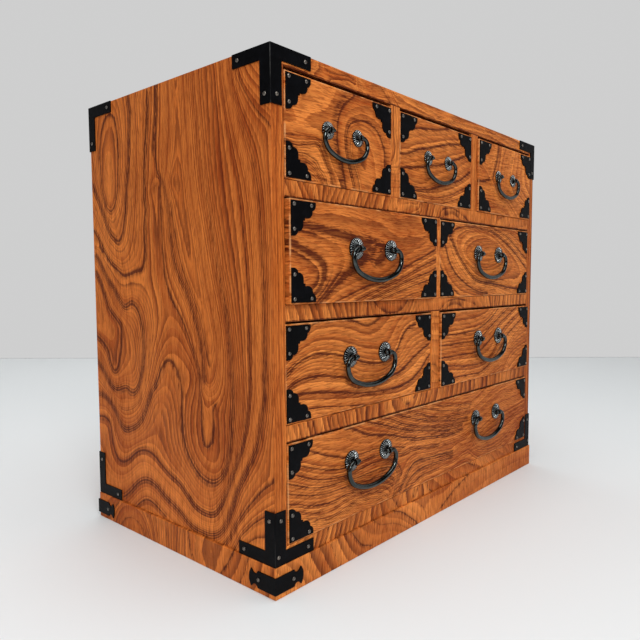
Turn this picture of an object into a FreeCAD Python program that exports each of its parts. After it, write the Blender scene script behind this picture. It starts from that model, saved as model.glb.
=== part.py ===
import FreeCAD, Part
import math
import os

# Small tansu chest: a mitred keyaki case on a low plinth, eight drawers in four rows, iron corner
# plates and brackets, and nine swinging bail handles.
# Millimetres. +X is right along the front, the front faces -Y, +Z is up. The origin is on the floor,
# under the centre of the chest's outline with its handles.

# Case
case_width = 455.0
case_depth = 263.0
board = 13.0                        # side panels, top, bottom and shelves
divider = 14.0
back_board = 5.0
bay_heights = (82.0, 81.0, 80.0, 81.0)    # clear height of each row, from the top row down
divider_shift = -2.5                # divider of the two middle rows, from the middle of the case

# Plinth
plinth_height = 25.0
plinth_board = 18.0
plinth_proud = 2.0                  # beyond the case at the front and both sides, flush at the back

# Drawers
front_board = 14.0
front_chamfer = 0.6
side_gap = 0.5
bottom_gap = 0.4
top_gaps = (2.6, 1.2, 1.6, 1.0)     # above the drawer fronts of each row, from the top row down
box_board = 8.0
box_bottom = 5.0
box_inset = 0.6                     # drawer sides inside the ends of the front
box_drop = 6.0                      # drawer sides below the top of the front
rear_gap = 0.5                      # behind a drawer that is fully home
home_recess = 1.5                   # front of a drawer that is fully home, behind the case's front

# Sheet iron
sheet = 1.0
bracket_width = 10.5
bracket_arm = 41.5                  # along the horizontal edges of the case
bracket_leg = 42.5                  # along the vertical edges of the case
bracket_bend = 0.8                  # outer radius of the bend
plate_leg = 26.5                    # drawer corner plates
plate_step = 0.547                  # square step of the plate's inner edge, as a share of its leg
plate_nail_near = 2.8               # nails from the plate's straight edges
plate_nail_inset = 5.1              # nails from the ends of its legs
plate_margin_side = 0.9
plate_margin_level = 1.3
arm_nail_inset = 6.3                # nail from the end of a horizontal arm
leg_nail_inset = 7.2                # nail from the end of the vertical leg
foot_nail = (2.6, 7.3)              # third nail of the lower front brackets, across and up

# Bands with fishtail ends round the corners of the plinth
band_height = 13.5
band_centre = 11.2                  # height of the band's middle above the floor
band_length = 29.5                  # from the corner to the middle of the tail
tail_length = 10.0                  # shaped end of the band
neck_length = 4.0                   # from the end of the notch to the middle of the tail
horn_length = 2.3                   # from the tip of the horn to the middle of the tail
notch_depth = 2.6
neck_depth = 1.2
horn_rise = 0.5
band_nail_inset = 11.0

# Domed nails
nail_head = 3.4
nail_rise = 1.1
nail_shank = 1.2
nail_length = 4.0                   # in the wood
pilot_clearance = 0.05

# Handles: a forged bail that swings in the eyes of two posts, each over a domed rosette
small_handle = {
    "pitch": 37.5,                  # between the posts
    "drop": 22.1,                   # from the hinge axis to the centre line at the bottom
    "rod": 4.2,                     # thickness at the bottom of the bail
    "neck": 3.3,                    # thickness where the bail leaves the eye
    "pin": 2.3,                     # thickness in the eye
    "shoulder": 6.0,                # radius of the upper bend
    "heel": 12.6,                   # radius of the lower bend
    "knob": 3.0,                    # on each inner end of the bail
    "eye": 5.0,
    "post": 2.5,
    "rosette": 14.0,
    "rosette_rise": 1.6,
}
large_handle = {
    "pitch": 49.0,
    "drop": 26.2,
    "rod": 4.8,
    "neck": 3.8,
    "pin": 2.8,
    "shoulder": 7.0,
    "heel": 15.0,
    "knob": 3.8,
    "eye": 6.0,
    "post": 3.0,
    "rosette": 18.3,
    "rosette_rise": 2.2,
}
rosette_rim = 0.7
rosette_fullness = 0.75             # height of the dome half way out, above the rim, as a share of its crown
eye_rounding = 0.6
eye_gap = 0.35                      # between the eye and the crown of the rosette
knob_gap = 0.3                      # between the eye and the knob on the bail's inner end
shoulder_gap = 0.8                  # between the eye and the start of the bail's upper bend
eye_clearance = 0.07                # between the bail's pin and the bore of the eye, all round
post_clearance = 0.1                # round the post, in the rosette and the drawer front
clinch_length = 5.0                 # split legs of the post, spread on the inside of the drawer front
clinch_thickness = 1.2

# Each drawer: its row, its bay in that row, how far its front stands out of the case as it is left,
# and its handles as (size, place beside the middle of the bay, height above the middle of the bay)
drawers = {
    "drawer_1_left": (0, 0, 0.4, [(small_handle, 0.0, 2.6)]),
    "drawer_1_centre": (0, 1, -0.3, [(small_handle, 0.0, 2.5)]),
    "drawer_1_right": (0, 2, 1.5, [(small_handle, -1.5, 2.0)]),
    "drawer_2_left": (1, 0, 5.0, [(large_handle, 0.0, 4.5)]),
    "drawer_2_right": (1, 1, -0.3, [(large_handle, 0.0, 7.0)]),
    "drawer_3_left": (2, 0, -1.2, [(large_handle, -0.5, 6.2)]),
    "drawer_3_right": (2, 1, 2.0, [(large_handle, -2.5, 5.8)]),
    "drawer_4": (3, 0, 0.5, [(large_handle, -113.0, 9.3), (large_handle, 106.5, 8.3)]),
}

# Derived sizes of the handles: how far the hinge axis stands off the drawer front, the centre line of
# the bail beyond the post, and the centre of the knob inside the post
for size in (small_handle, large_handle):
    size["stand"] = size["rosette_rise"] + eye_gap + size["eye"] / 2
    size["overhang"] = size["post"] / 2 + shoulder_gap + size["shoulder"]
    size["tip"] = size["post"] / 2 + knob_gap + size["knob"] / 2

# Derived places
half_width = case_width / 2
handle_reach = max(stand_out + size["stand"] + max(size["rod"], size["eye"]) / 2
                   for _, _, stand_out, handles in drawers.values() for size, _, _ in handles)
back_y = (case_depth + handle_reach - sheet - nail_rise) / 2
front_y = back_y - case_depth
inner_back_y = back_y - back_board
case_bottom = plinth_height
case_height = sum(bay_heights) + (len(bay_heights) + 1) * board
case_top = case_bottom + case_height

# Clear height of each row as (bottom, top), from the top row down
bay_levels = []
for height in bay_heights:
    top = bay_levels[-1][0] - board if bay_levels else case_top - board
    bay_levels.append((top - height, top))

# Clear width of each bay as (left, right), for each row
inner_half = half_width - board
third = (2 * inner_half - 2 * divider) / 3
upper_bays = [(-inner_half + k * (third + divider), -inner_half + k * (third + divider) + third)
              for k in range(3)]
middle_bays = [(-inner_half, divider_shift - divider / 2), (divider_shift + divider / 2, inner_half)]
bay_widths = (upper_bays, middle_bays, middle_bays, [(-inner_half, inner_half)])

parts = {}
pilots = {}                         # nail holes to cut from each board


def box(x, y, z):
    """Block between the low and high ends given for each axis."""
    return Part.makeBox(x[1] - x[0], y[1] - y[0], z[1] - z[0], FreeCAD.Vector(x[0], y[0], z[0]))


def prism(points, along):
    """Closed outline of 3-D points, pushed along a vector."""
    corners = [FreeCAD.Vector(*point) for point in points]
    face = Part.Face(Part.makePolygon(corners + corners[:1]))
    return face.extrude(FreeCAD.Vector(*along))


def outline(steps, place):
    """Wire through steps, each an end point or a (point on the arc, end point) pair."""
    start = place(*steps[0])
    edges = []
    for step in steps[1:]:
        if isinstance(step[0], tuple):
            through, end = place(*step[0]), place(*step[1])
            edges.append(Part.Arc(start, through, end).toShape())
        else:
            end = place(*step)
            edges.append(Part.makeLine(start, end))
        start = end
    return Part.Wire(edges)


def turned(shape, point, outward):
    """Copy of a shape made at the origin along +Z, moved to a point and turned to face outward."""
    copy = shape.copy()
    turn = FreeCAD.Rotation(FreeCAD.Vector(0, 0, 1), FreeCAD.Vector(*outward))
    copy.Placement = FreeCAD.Placement(FreeCAD.Vector(*point), turn)
    return copy


def joined(shapes):
    """One solid from several that overlap or meet."""
    return shapes[0].multiFuse(shapes[1:]).removeSplitter()


# Case boards, mitred at the four long edges
def make_case():
    low, high = case_bottom, case_top
    low_in, high_in = low + board, high - board
    whole_depth = (0, case_depth, 0)
    for name, sign in (("side_panel_left", -1), ("side_panel_right", 1)):
        outer, inner = sign * half_width, sign * inner_half
        corners = [(outer, low), (outer, high), (inner, high_in), (inner, low_in)]
        parts[name] = prism([(x, front_y, z) for x, z in corners], whole_depth)
    for name, outer, inner in (("top_board", high, high_in), ("bottom_board", low, low_in)):
        corners = [(-half_width, outer), (half_width, outer), (inner_half, inner), (-inner_half, inner)]
        parts[name] = prism([(x, front_y, z) for x, z in corners], whole_depth)

    depth = (front_y, inner_back_y)
    for name, level in zip(("shelf_upper", "shelf_middle", "shelf_lower"), bay_levels):
        parts[name] = box((-inner_half, inner_half), depth, (level[0] - board, level[0]))
    dividers = (("divider_1_left", 0, 0), ("divider_1_right", 0, 1), ("divider_2", 1, 0), ("divider_3", 2, 0))
    for name, row, bay in dividers:
        left = bay_widths[row][bay][1]
        parts[name] = box((left, left + divider), depth, bay_levels[row])
    parts["back_panel"] = box((-inner_half, inner_half), (inner_back_y, back_y), (low_in, high_in))


# Plinth boards, mitred at the corners
def make_plinth():
    left, right = -half_width - plinth_proud, half_width + plinth_proud
    front, back = front_y - plinth_proud, back_y
    inset = plinth_board
    outer = [(left, front), (right, front), (right, back), (left, back)]
    inner = [(left + inset, front + inset), (right - inset, front + inset),
             (right - inset, back - inset), (left + inset, back - inset)]
    for k, name in enumerate(("plinth_front", "plinth_right", "plinth_back", "plinth_left")):
        after = (k + 1) % 4
        corners = [outer[k], outer[after], inner[after], inner[k]]
        parts[name] = prism([(x, y, 0) for x, y in corners], (0, 0, plinth_height))


# A nail along +Z: its domed head stands on the plane z = 0 and its shank runs below
def make_nail():
    radius = ((nail_head / 2) ** 2 + nail_rise ** 2) / (2 * nail_rise)
    ball = Part.makeSphere(radius, FreeCAD.Vector(0, 0, nail_rise - radius))
    head = ball.common(Part.makeBox(nail_head * 2, nail_head * 2, nail_rise * 2,
                                    FreeCAD.Vector(-nail_head, -nail_head, 0)))
    shank = Part.makeCylinder(nail_shank / 2, nail_length + nail_rise / 2, FreeCAD.Vector(0, 0, -nail_length))
    return head.fuse(shank).removeSplitter()


nail = make_nail()
pilot = Part.makeCylinder(nail_shank / 2 + pilot_clearance, nail_length + sheet + 1,
                          FreeCAD.Vector(0, 0, -nail_length - pilot_clearance))


def pilot_holes(shape, spots):
    """The shape with a pilot hole for each (point, outward, host) nail."""
    return shape.cut([turned(pilot, point, outward) for point, outward, _ in spots])


def drive_nails(spots):
    """Nails at (point, outward, host) spots, and their pilot holes in the boards that hold them."""
    for point, outward, host in spots:
        pilots.setdefault(host, []).append(turned(pilot, point, outward))
    return [turned(nail, point, outward) for point, outward, _ in spots]


# L-shaped bracket round a corner of the case, two leaves on one bend
def case_bracket(side, end, level):
    face_x = side * half_width
    face_y = front_y if end < 0 else back_y
    edge_z = case_top if level > 0 else case_bottom
    ell = [(-sheet, 0), (bracket_arm, 0), (bracket_arm, bracket_width), (bracket_width, bracket_width),
           (bracket_width, bracket_leg), (-sheet, bracket_leg)]
    across = prism([(face_x - side * u, face_y, edge_z - level * v) for u, v in ell], (0, end * sheet, 0))
    along = prism([(face_x, face_y - end * u, edge_z - level * v) for u, v in ell], (side * sheet, 0, 0))
    bend_x, bend_y = face_x + side * sheet, face_y + end * sheet
    bracket = joined([across, along])
    bend = [edge for edge in bracket.Edges
            if all(abs(v.X - bend_x) < 0.01 and abs(v.Y - bend_y) < 0.01 for v in edge.Vertexes)]
    bracket = bracket.makeFillet(bracket_bend, bend)

    panel = "side_panel_left" if side < 0 else "side_panel_right"
    level_board = "top_board" if level > 0 else "bottom_board"
    middle = bracket_width / 2
    arm_z, leg_z = edge_z - level * middle, edge_z - level * (bracket_leg - leg_nail_inset)
    reach = bracket_arm - arm_nail_inset
    spots = [
        ((face_x - side * reach, bend_y, arm_z), (0, end, 0), level_board),
        ((bend_x, face_y - end * reach, arm_z), (side, 0, 0), panel),
        ((face_x - side * middle, bend_y, leg_z), (0, end, 0), panel),
        ((bend_x, face_y - end * middle, leg_z), (side, 0, 0), panel),
    ]
    if level < 0 and end < 0:
        spots.append(((face_x - side * foot_nail[0], bend_y, edge_z + foot_nail[1]), (0, end, 0), panel))
    return pilot_holes(bracket, spots), spots


# Band round a corner of the plinth
def plinth_band(side, end):
    face_x = side * (half_width + plinth_proud)
    face_y = front_y - plinth_proud if end < 0 else back_y
    half = band_height / 2
    shoulder, neck, horn = band_length - tail_length, band_length - neck_length, band_length - horn_length
    notch = (shoulder + neck) / 2
    steps = [(-sheet, half), (shoulder, half), ((notch, half - notch_depth), (neck, half - neck_depth)),
             (horn, half + horn_rise), ((band_length, 0), (horn, -half - horn_rise)),
             (neck, neck_depth - half), ((notch, notch_depth - half), (shoulder, -half)),
             (-sheet, -half), (-sheet, half)]

    def on_end(u, v):
        return FreeCAD.Vector(face_x - side * u, face_y, band_centre + v)

    def on_side(u, v):
        return FreeCAD.Vector(face_x, face_y - end * u, band_centre + v)

    across = Part.Face(outline(steps, on_end)).extrude(FreeCAD.Vector(0, end * sheet, 0))
    along = Part.Face(outline(steps, on_side)).extrude(FreeCAD.Vector(side * sheet, 0, 0))
    end_board = "plinth_front" if end < 0 else "plinth_back"
    side_board = "plinth_left" if side < 0 else "plinth_right"
    reach = band_length - band_nail_inset
    spots = [
        ((face_x - side * reach, face_y + end * sheet, band_centre), (0, end, 0), end_board),
        ((face_x + side * sheet, face_y - end * reach, band_centre), (side, 0, 0), side_board),
    ]
    return pilot_holes(joined([across, along]), spots), spots


# The case has a bracket at each of its eight corners, and the plinth a band at all but the right front
def make_ironwork():
    brackets, bands, spots = [], [], []
    for side in (-1, 1):
        for end in (-1, 1):
            for level in (-1, 1):
                bracket, held = case_bracket(side, end, level)
                brackets.append(bracket)
                spots += held
            if (side, end) != (1, -1):
                band, held = plinth_band(side, end)
                bands.append(band)
                spots += held
    parts["case_corner_brackets"] = brackets
    parts["plinth_corner_bands"] = bands
    parts["bracket_nails"] = drive_nails(spots)


# Drawer corner plate: u and v run along the two legs from the drawer's corner
def plate_steps():
    lobes = [(1.0, 0.09), ((0.95, 0.21), (0.865, 0.26)), ((0.825, 0.40), (0.675, 0.475)), (plate_step, 0.475)]
    leg = [(0.0, 0.0), (1.0, 0.0)] + lobes + [(plate_step, plate_step)]
    back = [(0.475, plate_step), (0.475, 0.675), ((0.40, 0.825), (0.26, 0.865)), ((0.21, 0.95), (0.09, 1.0))]
    return leg + back + [(0.0, 1.0), (0.0, 0.0)]


def corner_plates(left, right, bottom, top, face_y, host):
    plates, spots = [], []
    near, far = plate_nail_near, plate_leg - plate_nail_inset
    for side, x in ((1, left + plate_margin_side), (-1, right - plate_margin_side)):
        for level, z in ((1, bottom + plate_margin_level), (-1, top - plate_margin_level)):
            def place(u, v):
                return FreeCAD.Vector(x + side * u * plate_leg, face_y, z + level * v * plate_leg)

            held = [((x + side * u, face_y - sheet, z + level * v), (0, -1, 0), host)
                    for u, v in ((near, near), (far, near), (near, far))]
            plate = Part.Face(outline(plate_steps(), place)).extrude(FreeCAD.Vector(0, -sheet, 0))
            plates.append(pilot_holes(plate, held))
            spots += held
    return plates + drive_nails(spots)


# Centre line of a bail from the eye to the bottom, as stations (x, z, heading)
def bail_stations(size):
    half_span = size["pitch"] / 2 + size["overhang"]
    shoulder, heel = size["shoulder"], size["heel"]
    side_drop = size["drop"] - shoulder
    # The wide bottom arc meets the lower bend smoothly and is level at the middle
    wide = ((half_span - heel) ** 2 + side_drop ** 2 - heel ** 2) / (2 * (side_drop - heel))
    meet = math.atan2(half_span - heel, wide - side_drop)
    stations = []
    for k in range(4):
        angle = math.pi / 2 * k / 4
        stations.append((half_span - shoulder + shoulder * math.sin(angle),
                         shoulder * math.cos(angle) - shoulder, angle))
    for k in range(5):
        turn = (math.pi / 2 - meet) * k / 5
        stations.append((half_span - heel + heel * math.cos(turn), -shoulder - heel * math.sin(turn),
                         math.pi / 2 + turn))
    for k in range(6):
        lean = meet * (1 - k / 5)
        stations.append((wide * math.sin(lean), wide - size["drop"] - wide * math.cos(lean), math.pi - lean))
    return stations


def make_bail(size):
    """A bail hanging from the origin, its hinge axis along X, with a knob on each inner end."""
    stations = bail_stations(size)
    right = []
    for k, (x, z, heading) in enumerate(stations):
        share = k / (len(stations) - 1)
        ease = math.sin(share * math.pi / 2)
        radius = (size["neck"] + (size["rod"] - size["neck"]) * ease) / 2
        if k == 0:
            radius = size["pin"] / 2
        right.append((x, z, heading, radius))
    left = [(-x, z, 2 * math.pi - heading, radius) for x, z, heading, radius in reversed(right[:-1])]
    rings = []
    for x, z, heading, radius in right + left:
        direction = FreeCAD.Vector(math.cos(heading), 0, -math.sin(heading))
        rings.append(Part.Wire(Part.makeCircle(radius, FreeCAD.Vector(x, 0, z), direction)))
    solids = [Part.makeLoft(rings, True, False)]
    start = stations[0][0]
    for sign in (-1, 1):
        knob_x = sign * (size["pitch"] / 2 - size["tip"])
        length = start - abs(knob_x)
        solids.append(Part.makeCylinder(size["pin"] / 2, length, FreeCAD.Vector(knob_x, 0, 0),
                                        FreeCAD.Vector(sign, 0, 0)))
        solids.append(Part.makeSphere(size["knob"] / 2, FreeCAD.Vector(knob_x, 0, 0)))
    return joined(solids)


# A post along -Y from the drawer's face: a round eye in front, a shank, and split legs spread inside
def make_post(size):
    stand, width = size["stand"], size["post"]
    eye = Part.makeCylinder(size["eye"] / 2, width, FreeCAD.Vector(-width / 2, -stand, 0),
                            FreeCAD.Vector(1, 0, 0))
    rims = [edge for edge in eye.Edges if isinstance(edge.Curve, Part.Circle)]
    eye = eye.makeFillet(eye_rounding, rims)
    shank = Part.makeCylinder(width / 2, stand + front_board + clinch_thickness / 2,
                              FreeCAD.Vector(0, -stand, 0), FreeCAD.Vector(0, 1, 0))
    legs = box((-width / 2, width / 2), (front_board, front_board + clinch_thickness),
               (-clinch_length, clinch_length))
    bore = Part.makeCylinder(size["pin"] / 2 + eye_clearance, 2 * width,
                             FreeCAD.Vector(-width, -stand, 0), FreeCAD.Vector(1, 0, 0))
    return joined([eye, shank, legs]).cut(bore)


# A domed washer on the drawer's face, its dome towards -Y, round the post
def make_rosette(size):
    hole, rim = size["post"] / 2 + post_clearance, size["rosette"] / 2
    rise = size["rosette_rise"]
    crown = rosette_rim + (rise - rosette_rim) * rosette_fullness
    profile = outline([(hole, 0), (rim, 0), (rim, -rosette_rim), (((hole + rim) / 2, -crown), (hole, -rise)),
                       (hole, 0)], lambda u, v: FreeCAD.Vector(u, v, 0))
    return Part.Face(profile).revolve(FreeCAD.Vector(0, 0, 0), FreeCAD.Vector(0, 1, 0), 360)


def make_drawer(name, row, bay, stand_out, handles):
    bay_left, bay_right = bay_widths[row][bay]
    bay_bottom, bay_top = bay_levels[row]
    left, right = bay_left + side_gap, bay_right - side_gap
    bottom, top = bay_bottom + bottom_gap, bay_top - top_gaps[row]
    face_y = front_y - stand_out
    inside_y = face_y + front_board
    end_y = inner_back_y - rear_gap - home_recess - stand_out

    front = box((left, right), (face_y, inside_y), (bottom, top))
    rim = [edge for edge in front.Edges if all(abs(v.Y - face_y) < 0.01 for v in edge.Vertexes)]
    front = front.makeChamfer(front_chamfer, rim)

    box_left, box_right = left + box_inset, right - box_inset
    walls = (bottom + box_bottom, top - box_drop)
    parts[name + "_box"] = [
        box((box_left, box_left + box_board), (inside_y, end_y), walls),
        box((box_right - box_board, box_right), (inside_y, end_y), walls),
        box((box_left + box_board, box_right - box_board), (end_y - box_board, end_y), walls),
        box((box_left, box_right), (inside_y, end_y), (bottom, bottom + box_bottom)),
    ]
    parts[name + "_corner_plates"] = corner_plates(left, right, bottom, top, face_y, name + "_front")

    fittings = []
    for k, (size, beside, above) in enumerate(handles):
        x = (bay_left + bay_right) / 2 + beside
        z = (bay_bottom + bay_top) / 2 + above
        for sign in (-1, 1):
            place = FreeCAD.Vector(x + sign * size["pitch"] / 2, face_y, z)
            fittings += [make_rosette(size).translated(place), make_post(size).translated(place)]
            front = front.cut(Part.makeCylinder(size["post"] / 2 + post_clearance, front_board, place,
                                                FreeCAD.Vector(0, 1, 0)))
        ending = "_bail" if len(handles) == 1 else ("_bail_left", "_bail_right")[k]
        axis = FreeCAD.Vector(x, face_y - size["stand"], z)
        parts[name + ending] = make_bail(size).translated(axis)
    parts[name + "_handle_posts"] = fittings
    parts[name + "_front"] = front


def build():
    make_case()
    make_plinth()
    make_ironwork()
    for name, (row, bay, stand_out, handles) in drawers.items():
        make_drawer(name, row, bay, stand_out, handles)
    for name, holes in pilots.items():
        parts[name] = parts[name].cut(holes)


def export():
    os.makedirs("parts", exist_ok=True)
    for name, shape in parts.items():
        whole = Part.makeCompound(shape) if isinstance(shape, list) else shape
        whole.exportStep(f"parts/{name}.step")
    print(len(parts), "nodes")


build()
export()
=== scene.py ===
import bpy, bmesh, math
import numpy as np
from mathutils import Vector, Matrix


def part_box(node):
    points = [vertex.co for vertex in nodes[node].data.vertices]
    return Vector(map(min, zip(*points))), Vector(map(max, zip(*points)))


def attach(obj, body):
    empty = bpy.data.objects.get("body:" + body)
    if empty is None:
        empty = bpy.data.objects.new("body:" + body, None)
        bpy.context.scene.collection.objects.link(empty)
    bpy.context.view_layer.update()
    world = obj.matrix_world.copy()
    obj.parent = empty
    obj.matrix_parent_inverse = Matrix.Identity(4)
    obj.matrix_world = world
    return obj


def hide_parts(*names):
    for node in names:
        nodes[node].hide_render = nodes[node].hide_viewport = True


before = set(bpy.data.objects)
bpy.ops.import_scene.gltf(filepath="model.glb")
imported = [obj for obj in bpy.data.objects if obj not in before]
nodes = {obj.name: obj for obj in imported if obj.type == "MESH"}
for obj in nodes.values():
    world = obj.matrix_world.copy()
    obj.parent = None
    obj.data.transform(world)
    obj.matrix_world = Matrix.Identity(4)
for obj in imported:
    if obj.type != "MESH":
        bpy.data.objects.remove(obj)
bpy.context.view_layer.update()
mm = 0.001
# the case's faces, and how far the plinth stands out, mm
frontY, backY, leftX, rightX, footZ, topZ, proud = -125.775, 137.225, -227.5, 227.5, 25, 414, 2.0
bpy.context.scene.view_settings.view_transform = "Standard"
print("frame loaded")


# node helpers
def feed(socket, value):
    # gives a socket a number or colour, or links another node's output to it
    value = value.socket if isinstance(value, Signal) else value
    if isinstance(value, bpy.types.NodeSocket):
        socket.id_data.links.new(value, socket)
    elif value is not None:
        socket.default_value = value


def put(tree, kind, inputs=None, **settings):
    node = tree.nodes.new(kind)
    for label, value in settings.items():
        setattr(node, label, value)
    for key, value in (inputs or {}).items():
        feed(node.inputs[key], value)
    return node


def calc(tree, how, a, b=0.0, clamp=False):
    return Signal(put(tree, "ShaderNodeMath", {0: a, 1: b}, operation=how, use_clamp=clamp).outputs[0])


def operator(how, swapped=False):
    def apply(self, other):
        pair = (other, self) if swapped else (self, other)
        return calc(self.socket.id_data, how, *pair)
    return apply


class Signal:
    # an output socket that is added, subtracted, multiplied and divided as a number is, with math nodes
    __add__, __radd__ = operator("ADD"), operator("ADD", True)
    __sub__, __rsub__ = operator("SUBTRACT"), operator("SUBTRACT", True)
    __mul__, __rmul__ = operator("MULTIPLY"), operator("MULTIPLY", True)
    __truediv__ = operator("DIVIDE")

    def __init__(self, socket):
        self.socket = socket


def newTree(name, kind, inputs, outputs):
    tree = bpy.data.node_groups.new(name, kind)
    for label, sort, *value in inputs:
        socket = tree.interface.new_socket(label, in_out="INPUT", socket_type="NodeSocket" + sort)
        if value:
            socket.default_value = value[0]
    for label, sort in outputs:
        tree.interface.new_socket(label, in_out="OUTPUT", socket_type="NodeSocket" + sort)
    inside, outside = tree.nodes.new("NodeGroupInput"), tree.nodes.new("NodeGroupOutput")
    return tree, {label: Signal(inside.outputs[label]) for label, *rest in inputs}, outside


def newObject(name, data):
    thing = bpy.data.objects.new(name, data)
    bpy.context.collection.objects.link(thing)
    return thing


# camera, light and floor
view = {"place": (-0.536792, -0.459181, 0.244265), "turn": 49.4779, "tilt": -4.2399, "roll": -0.116,
        "lens": 34.434, "shift": (-0.0372, 0.0076), "sensor": 36, "near": 0.01}


def addCamera():
    turn, tilt, roll = (math.radians(view[k]) for k in ("turn", "tilt", "roll"))
    ahead = Vector((math.sin(turn) * math.cos(tilt), math.cos(turn) * math.cos(tilt), math.sin(tilt)))
    right = Vector((math.cos(turn), -math.sin(turn), 0))
    up = right.cross(ahead)
    across = right * math.cos(roll) + up * math.sin(roll)
    above = across.cross(ahead)
    data = bpy.data.cameras.new("camera")
    data.lens, data.sensor_width, data.clip_start = view["lens"], view["sensor"], view["near"]
    data.shift_x, data.shift_y = view["shift"]
    camera = newObject("camera", data)
    camera.matrix_world = Matrix((across, above, -ahead)).transposed().to_4x4()
    camera.location = view["place"]
    bpy.context.scene.camera = camera


# each lamp has its name, place, aim, size in metres and power in watts
studio = {"lamps": [("top", (-0.2, -0.5, 2.1), (0, 0, 0.1), 1.8, 20.0),
                    ("front", (-0.7, -1.0, 0.85), (-0.1, 0, 0.25), 0.4, 6.3),
                    ("left", (-1.9, -0.2, 0.9), (0, 0, 0.2), 1.4, 3.4),
                    ("back", (0.3, 1.05, 1.5), (0.3, 1.05, 0), 1.3, 5.0)],
          "sky": 0.5, "gloom": 0.06, "floor": (0.775, 0.803, 0.812, 1), "reach": 5.0, "paper": (0.6, 0.6, 0.6, 1),
          "wall": (0.62, 0.62, 0.62, 1), "wallAway": 2.06, "wallHigh": 3.0, "cove": 0.16, "coveSteps": 12,
          "clear": 0.0005}


def addLights():
    for name, place, aim, size, power in studio["lamps"]:
        data = bpy.data.lights.new(name, "AREA")
        data.shape, data.size, data.energy = "DISK", size, power
        lamp = newObject(name, data)
        lamp.location = place
        lamp.rotation_euler = (Vector(aim) - Vector(place)).to_track_quat("-Z", "Y").to_euler()
    world = bpy.data.worlds.new("studio")
    bpy.context.scene.world = world
    world.use_nodes = True
    back = world.node_tree.nodes["Background"]
    back.inputs["Color"].default_value = (1, 1, 1, 1)
    # the dim corners of the room show in the irons, so polished bends read as dark with bright lights
    glossy = Signal(world.node_tree.nodes.new("ShaderNodeLightPath").outputs["Is Glossy Ray"])
    feed(back.inputs["Strength"], glossy * (studio["gloom"] - studio["sky"]) + studio["sky"])


def stagePiece(name, points, faces, mat):
    mesh = bpy.data.meshes.new(name)
    mesh.from_pydata(points, [], faces)
    mesh.materials.append(mat)
    mesh.shade_smooth()
    piece = newObject(name, mesh)


def plainPaint(name, colour, rough):
    mat = bpy.data.materials.new(name)
    mat.use_nodes = True
    shader = mat.node_tree.nodes["Principled BSDF"]
    shader.inputs["Base Color"].default_value = colour
    shader.inputs["Roughness"].default_value = rough
    return mat, shader


def addRoom():
    reach, cove, steps = studio["reach"], studio["cove"], studio["coveSteps"]
    floorMat, shader = plainPaint("floorPaint", studio["floor"], 0.55)
    shader.inputs["Specular IOR Level"].default_value = 0.25
    corners = [(x * reach, y * reach, 0) for x, y in ((-1, -1), (1, -1), (1, 1), (-1, 1))]
    stagePiece("studio_floor", corners, [(0, 1, 2, 3)], floorMat)
    # a paper wall far behind: the camera sees its own plain grey, while it lights the object as any wall would
    wallMat, diffuse = plainPaint("wallPaper", studio["paper"], 0.9)
    tree = wallMat.node_tree
    glow = put(tree, "ShaderNodeEmission", {"Color": studio["wall"]})
    path = tree.nodes.new("ShaderNodeLightPath")
    seen = calc(tree, "MAXIMUM", path.outputs["Is Camera Ray"], path.outputs["Is Glossy Ray"])
    mix = put(tree, "ShaderNodeMixShader", {0: seen, 1: diffuse.outputs[0], 2: glow.outputs[0]})
    feed(tree.nodes["Material Output"].inputs[0], mix.outputs[0])
    turn = math.radians(view["turn"])
    away = Vector((math.sin(turn), math.cos(turn), 0))
    side = Vector((math.cos(turn), -math.sin(turn), 0))
    foot = Vector((*view["place"][:2], 0)) + away * studio["wallAway"]
    angles = [math.radians(90 * k / steps) for k in range(steps + 1)]
    profile = [(cove * (math.sin(a) - 1), cove * (1 - math.cos(a)) + studio["clear"]) for a in angles]
    profile.append((0, studio["wallHigh"]))
    points = [tuple(foot + away * d + side * s * reach + Vector((0, 0, z))) for d, z in profile for s in (-1, 1)]
    faces = [(2 * k, 2 * k + 1, 2 * k + 3, 2 * k + 2) for k in range(len(profile) - 1)]
    stagePiece("studio_wall", points, faces, wallMat)


addCamera()
addLights()
addRoom()
print("camera, lamps and floor placed")


# shader groups shared by the materials
def ramp(tree, value, low, high, toLow=0.0, toHigh=1.0, smooth=True):
    inputs = {"Value": value, "From Min": low, "From Max": high, "To Min": toLow, "To Max": toHigh}
    kind = "SMOOTHSTEP" if smooth else "LINEAR"
    return Signal(put(tree, "ShaderNodeMapRange", inputs, interpolation_type=kind).outputs["Result"])


def noise(tree, place, scale, detail=2.0, rough=0.5, w=None):
    inputs = {"Vector": place, "Scale": scale, "Detail": detail, "Roughness": rough}
    if w is not None:
        inputs["W"] = w / scale  # the node scales this axis too
    return Signal(put(tree, "ShaderNodeTexNoise", inputs, noise_dimensions="3D" if w is None else "4D").outputs[0])


def blend(tree, amount, a, b):
    return Signal(put(tree, "ShaderNodeMix", {0: amount, 6: a, 7: b}, data_type="RGBA").outputs[2])


def srgb(r, g, b):
    line = [(v / 255 / 12.92) if v <= 10 else ((v / 255 + 0.055) / 1.055) ** 2.4 for v in (r, g, b)]
    return (*line, 1.0)


skinOutputs = [("Color", "Color"), ("Roughness", "Float"), ("Height", "Float")]


def giveSkin(outside, colour, rough, height):
    for label, value in (("Color", colour), ("Roughness", rough), ("Height", height)):
        feed(outside.inputs[label], value)


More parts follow.
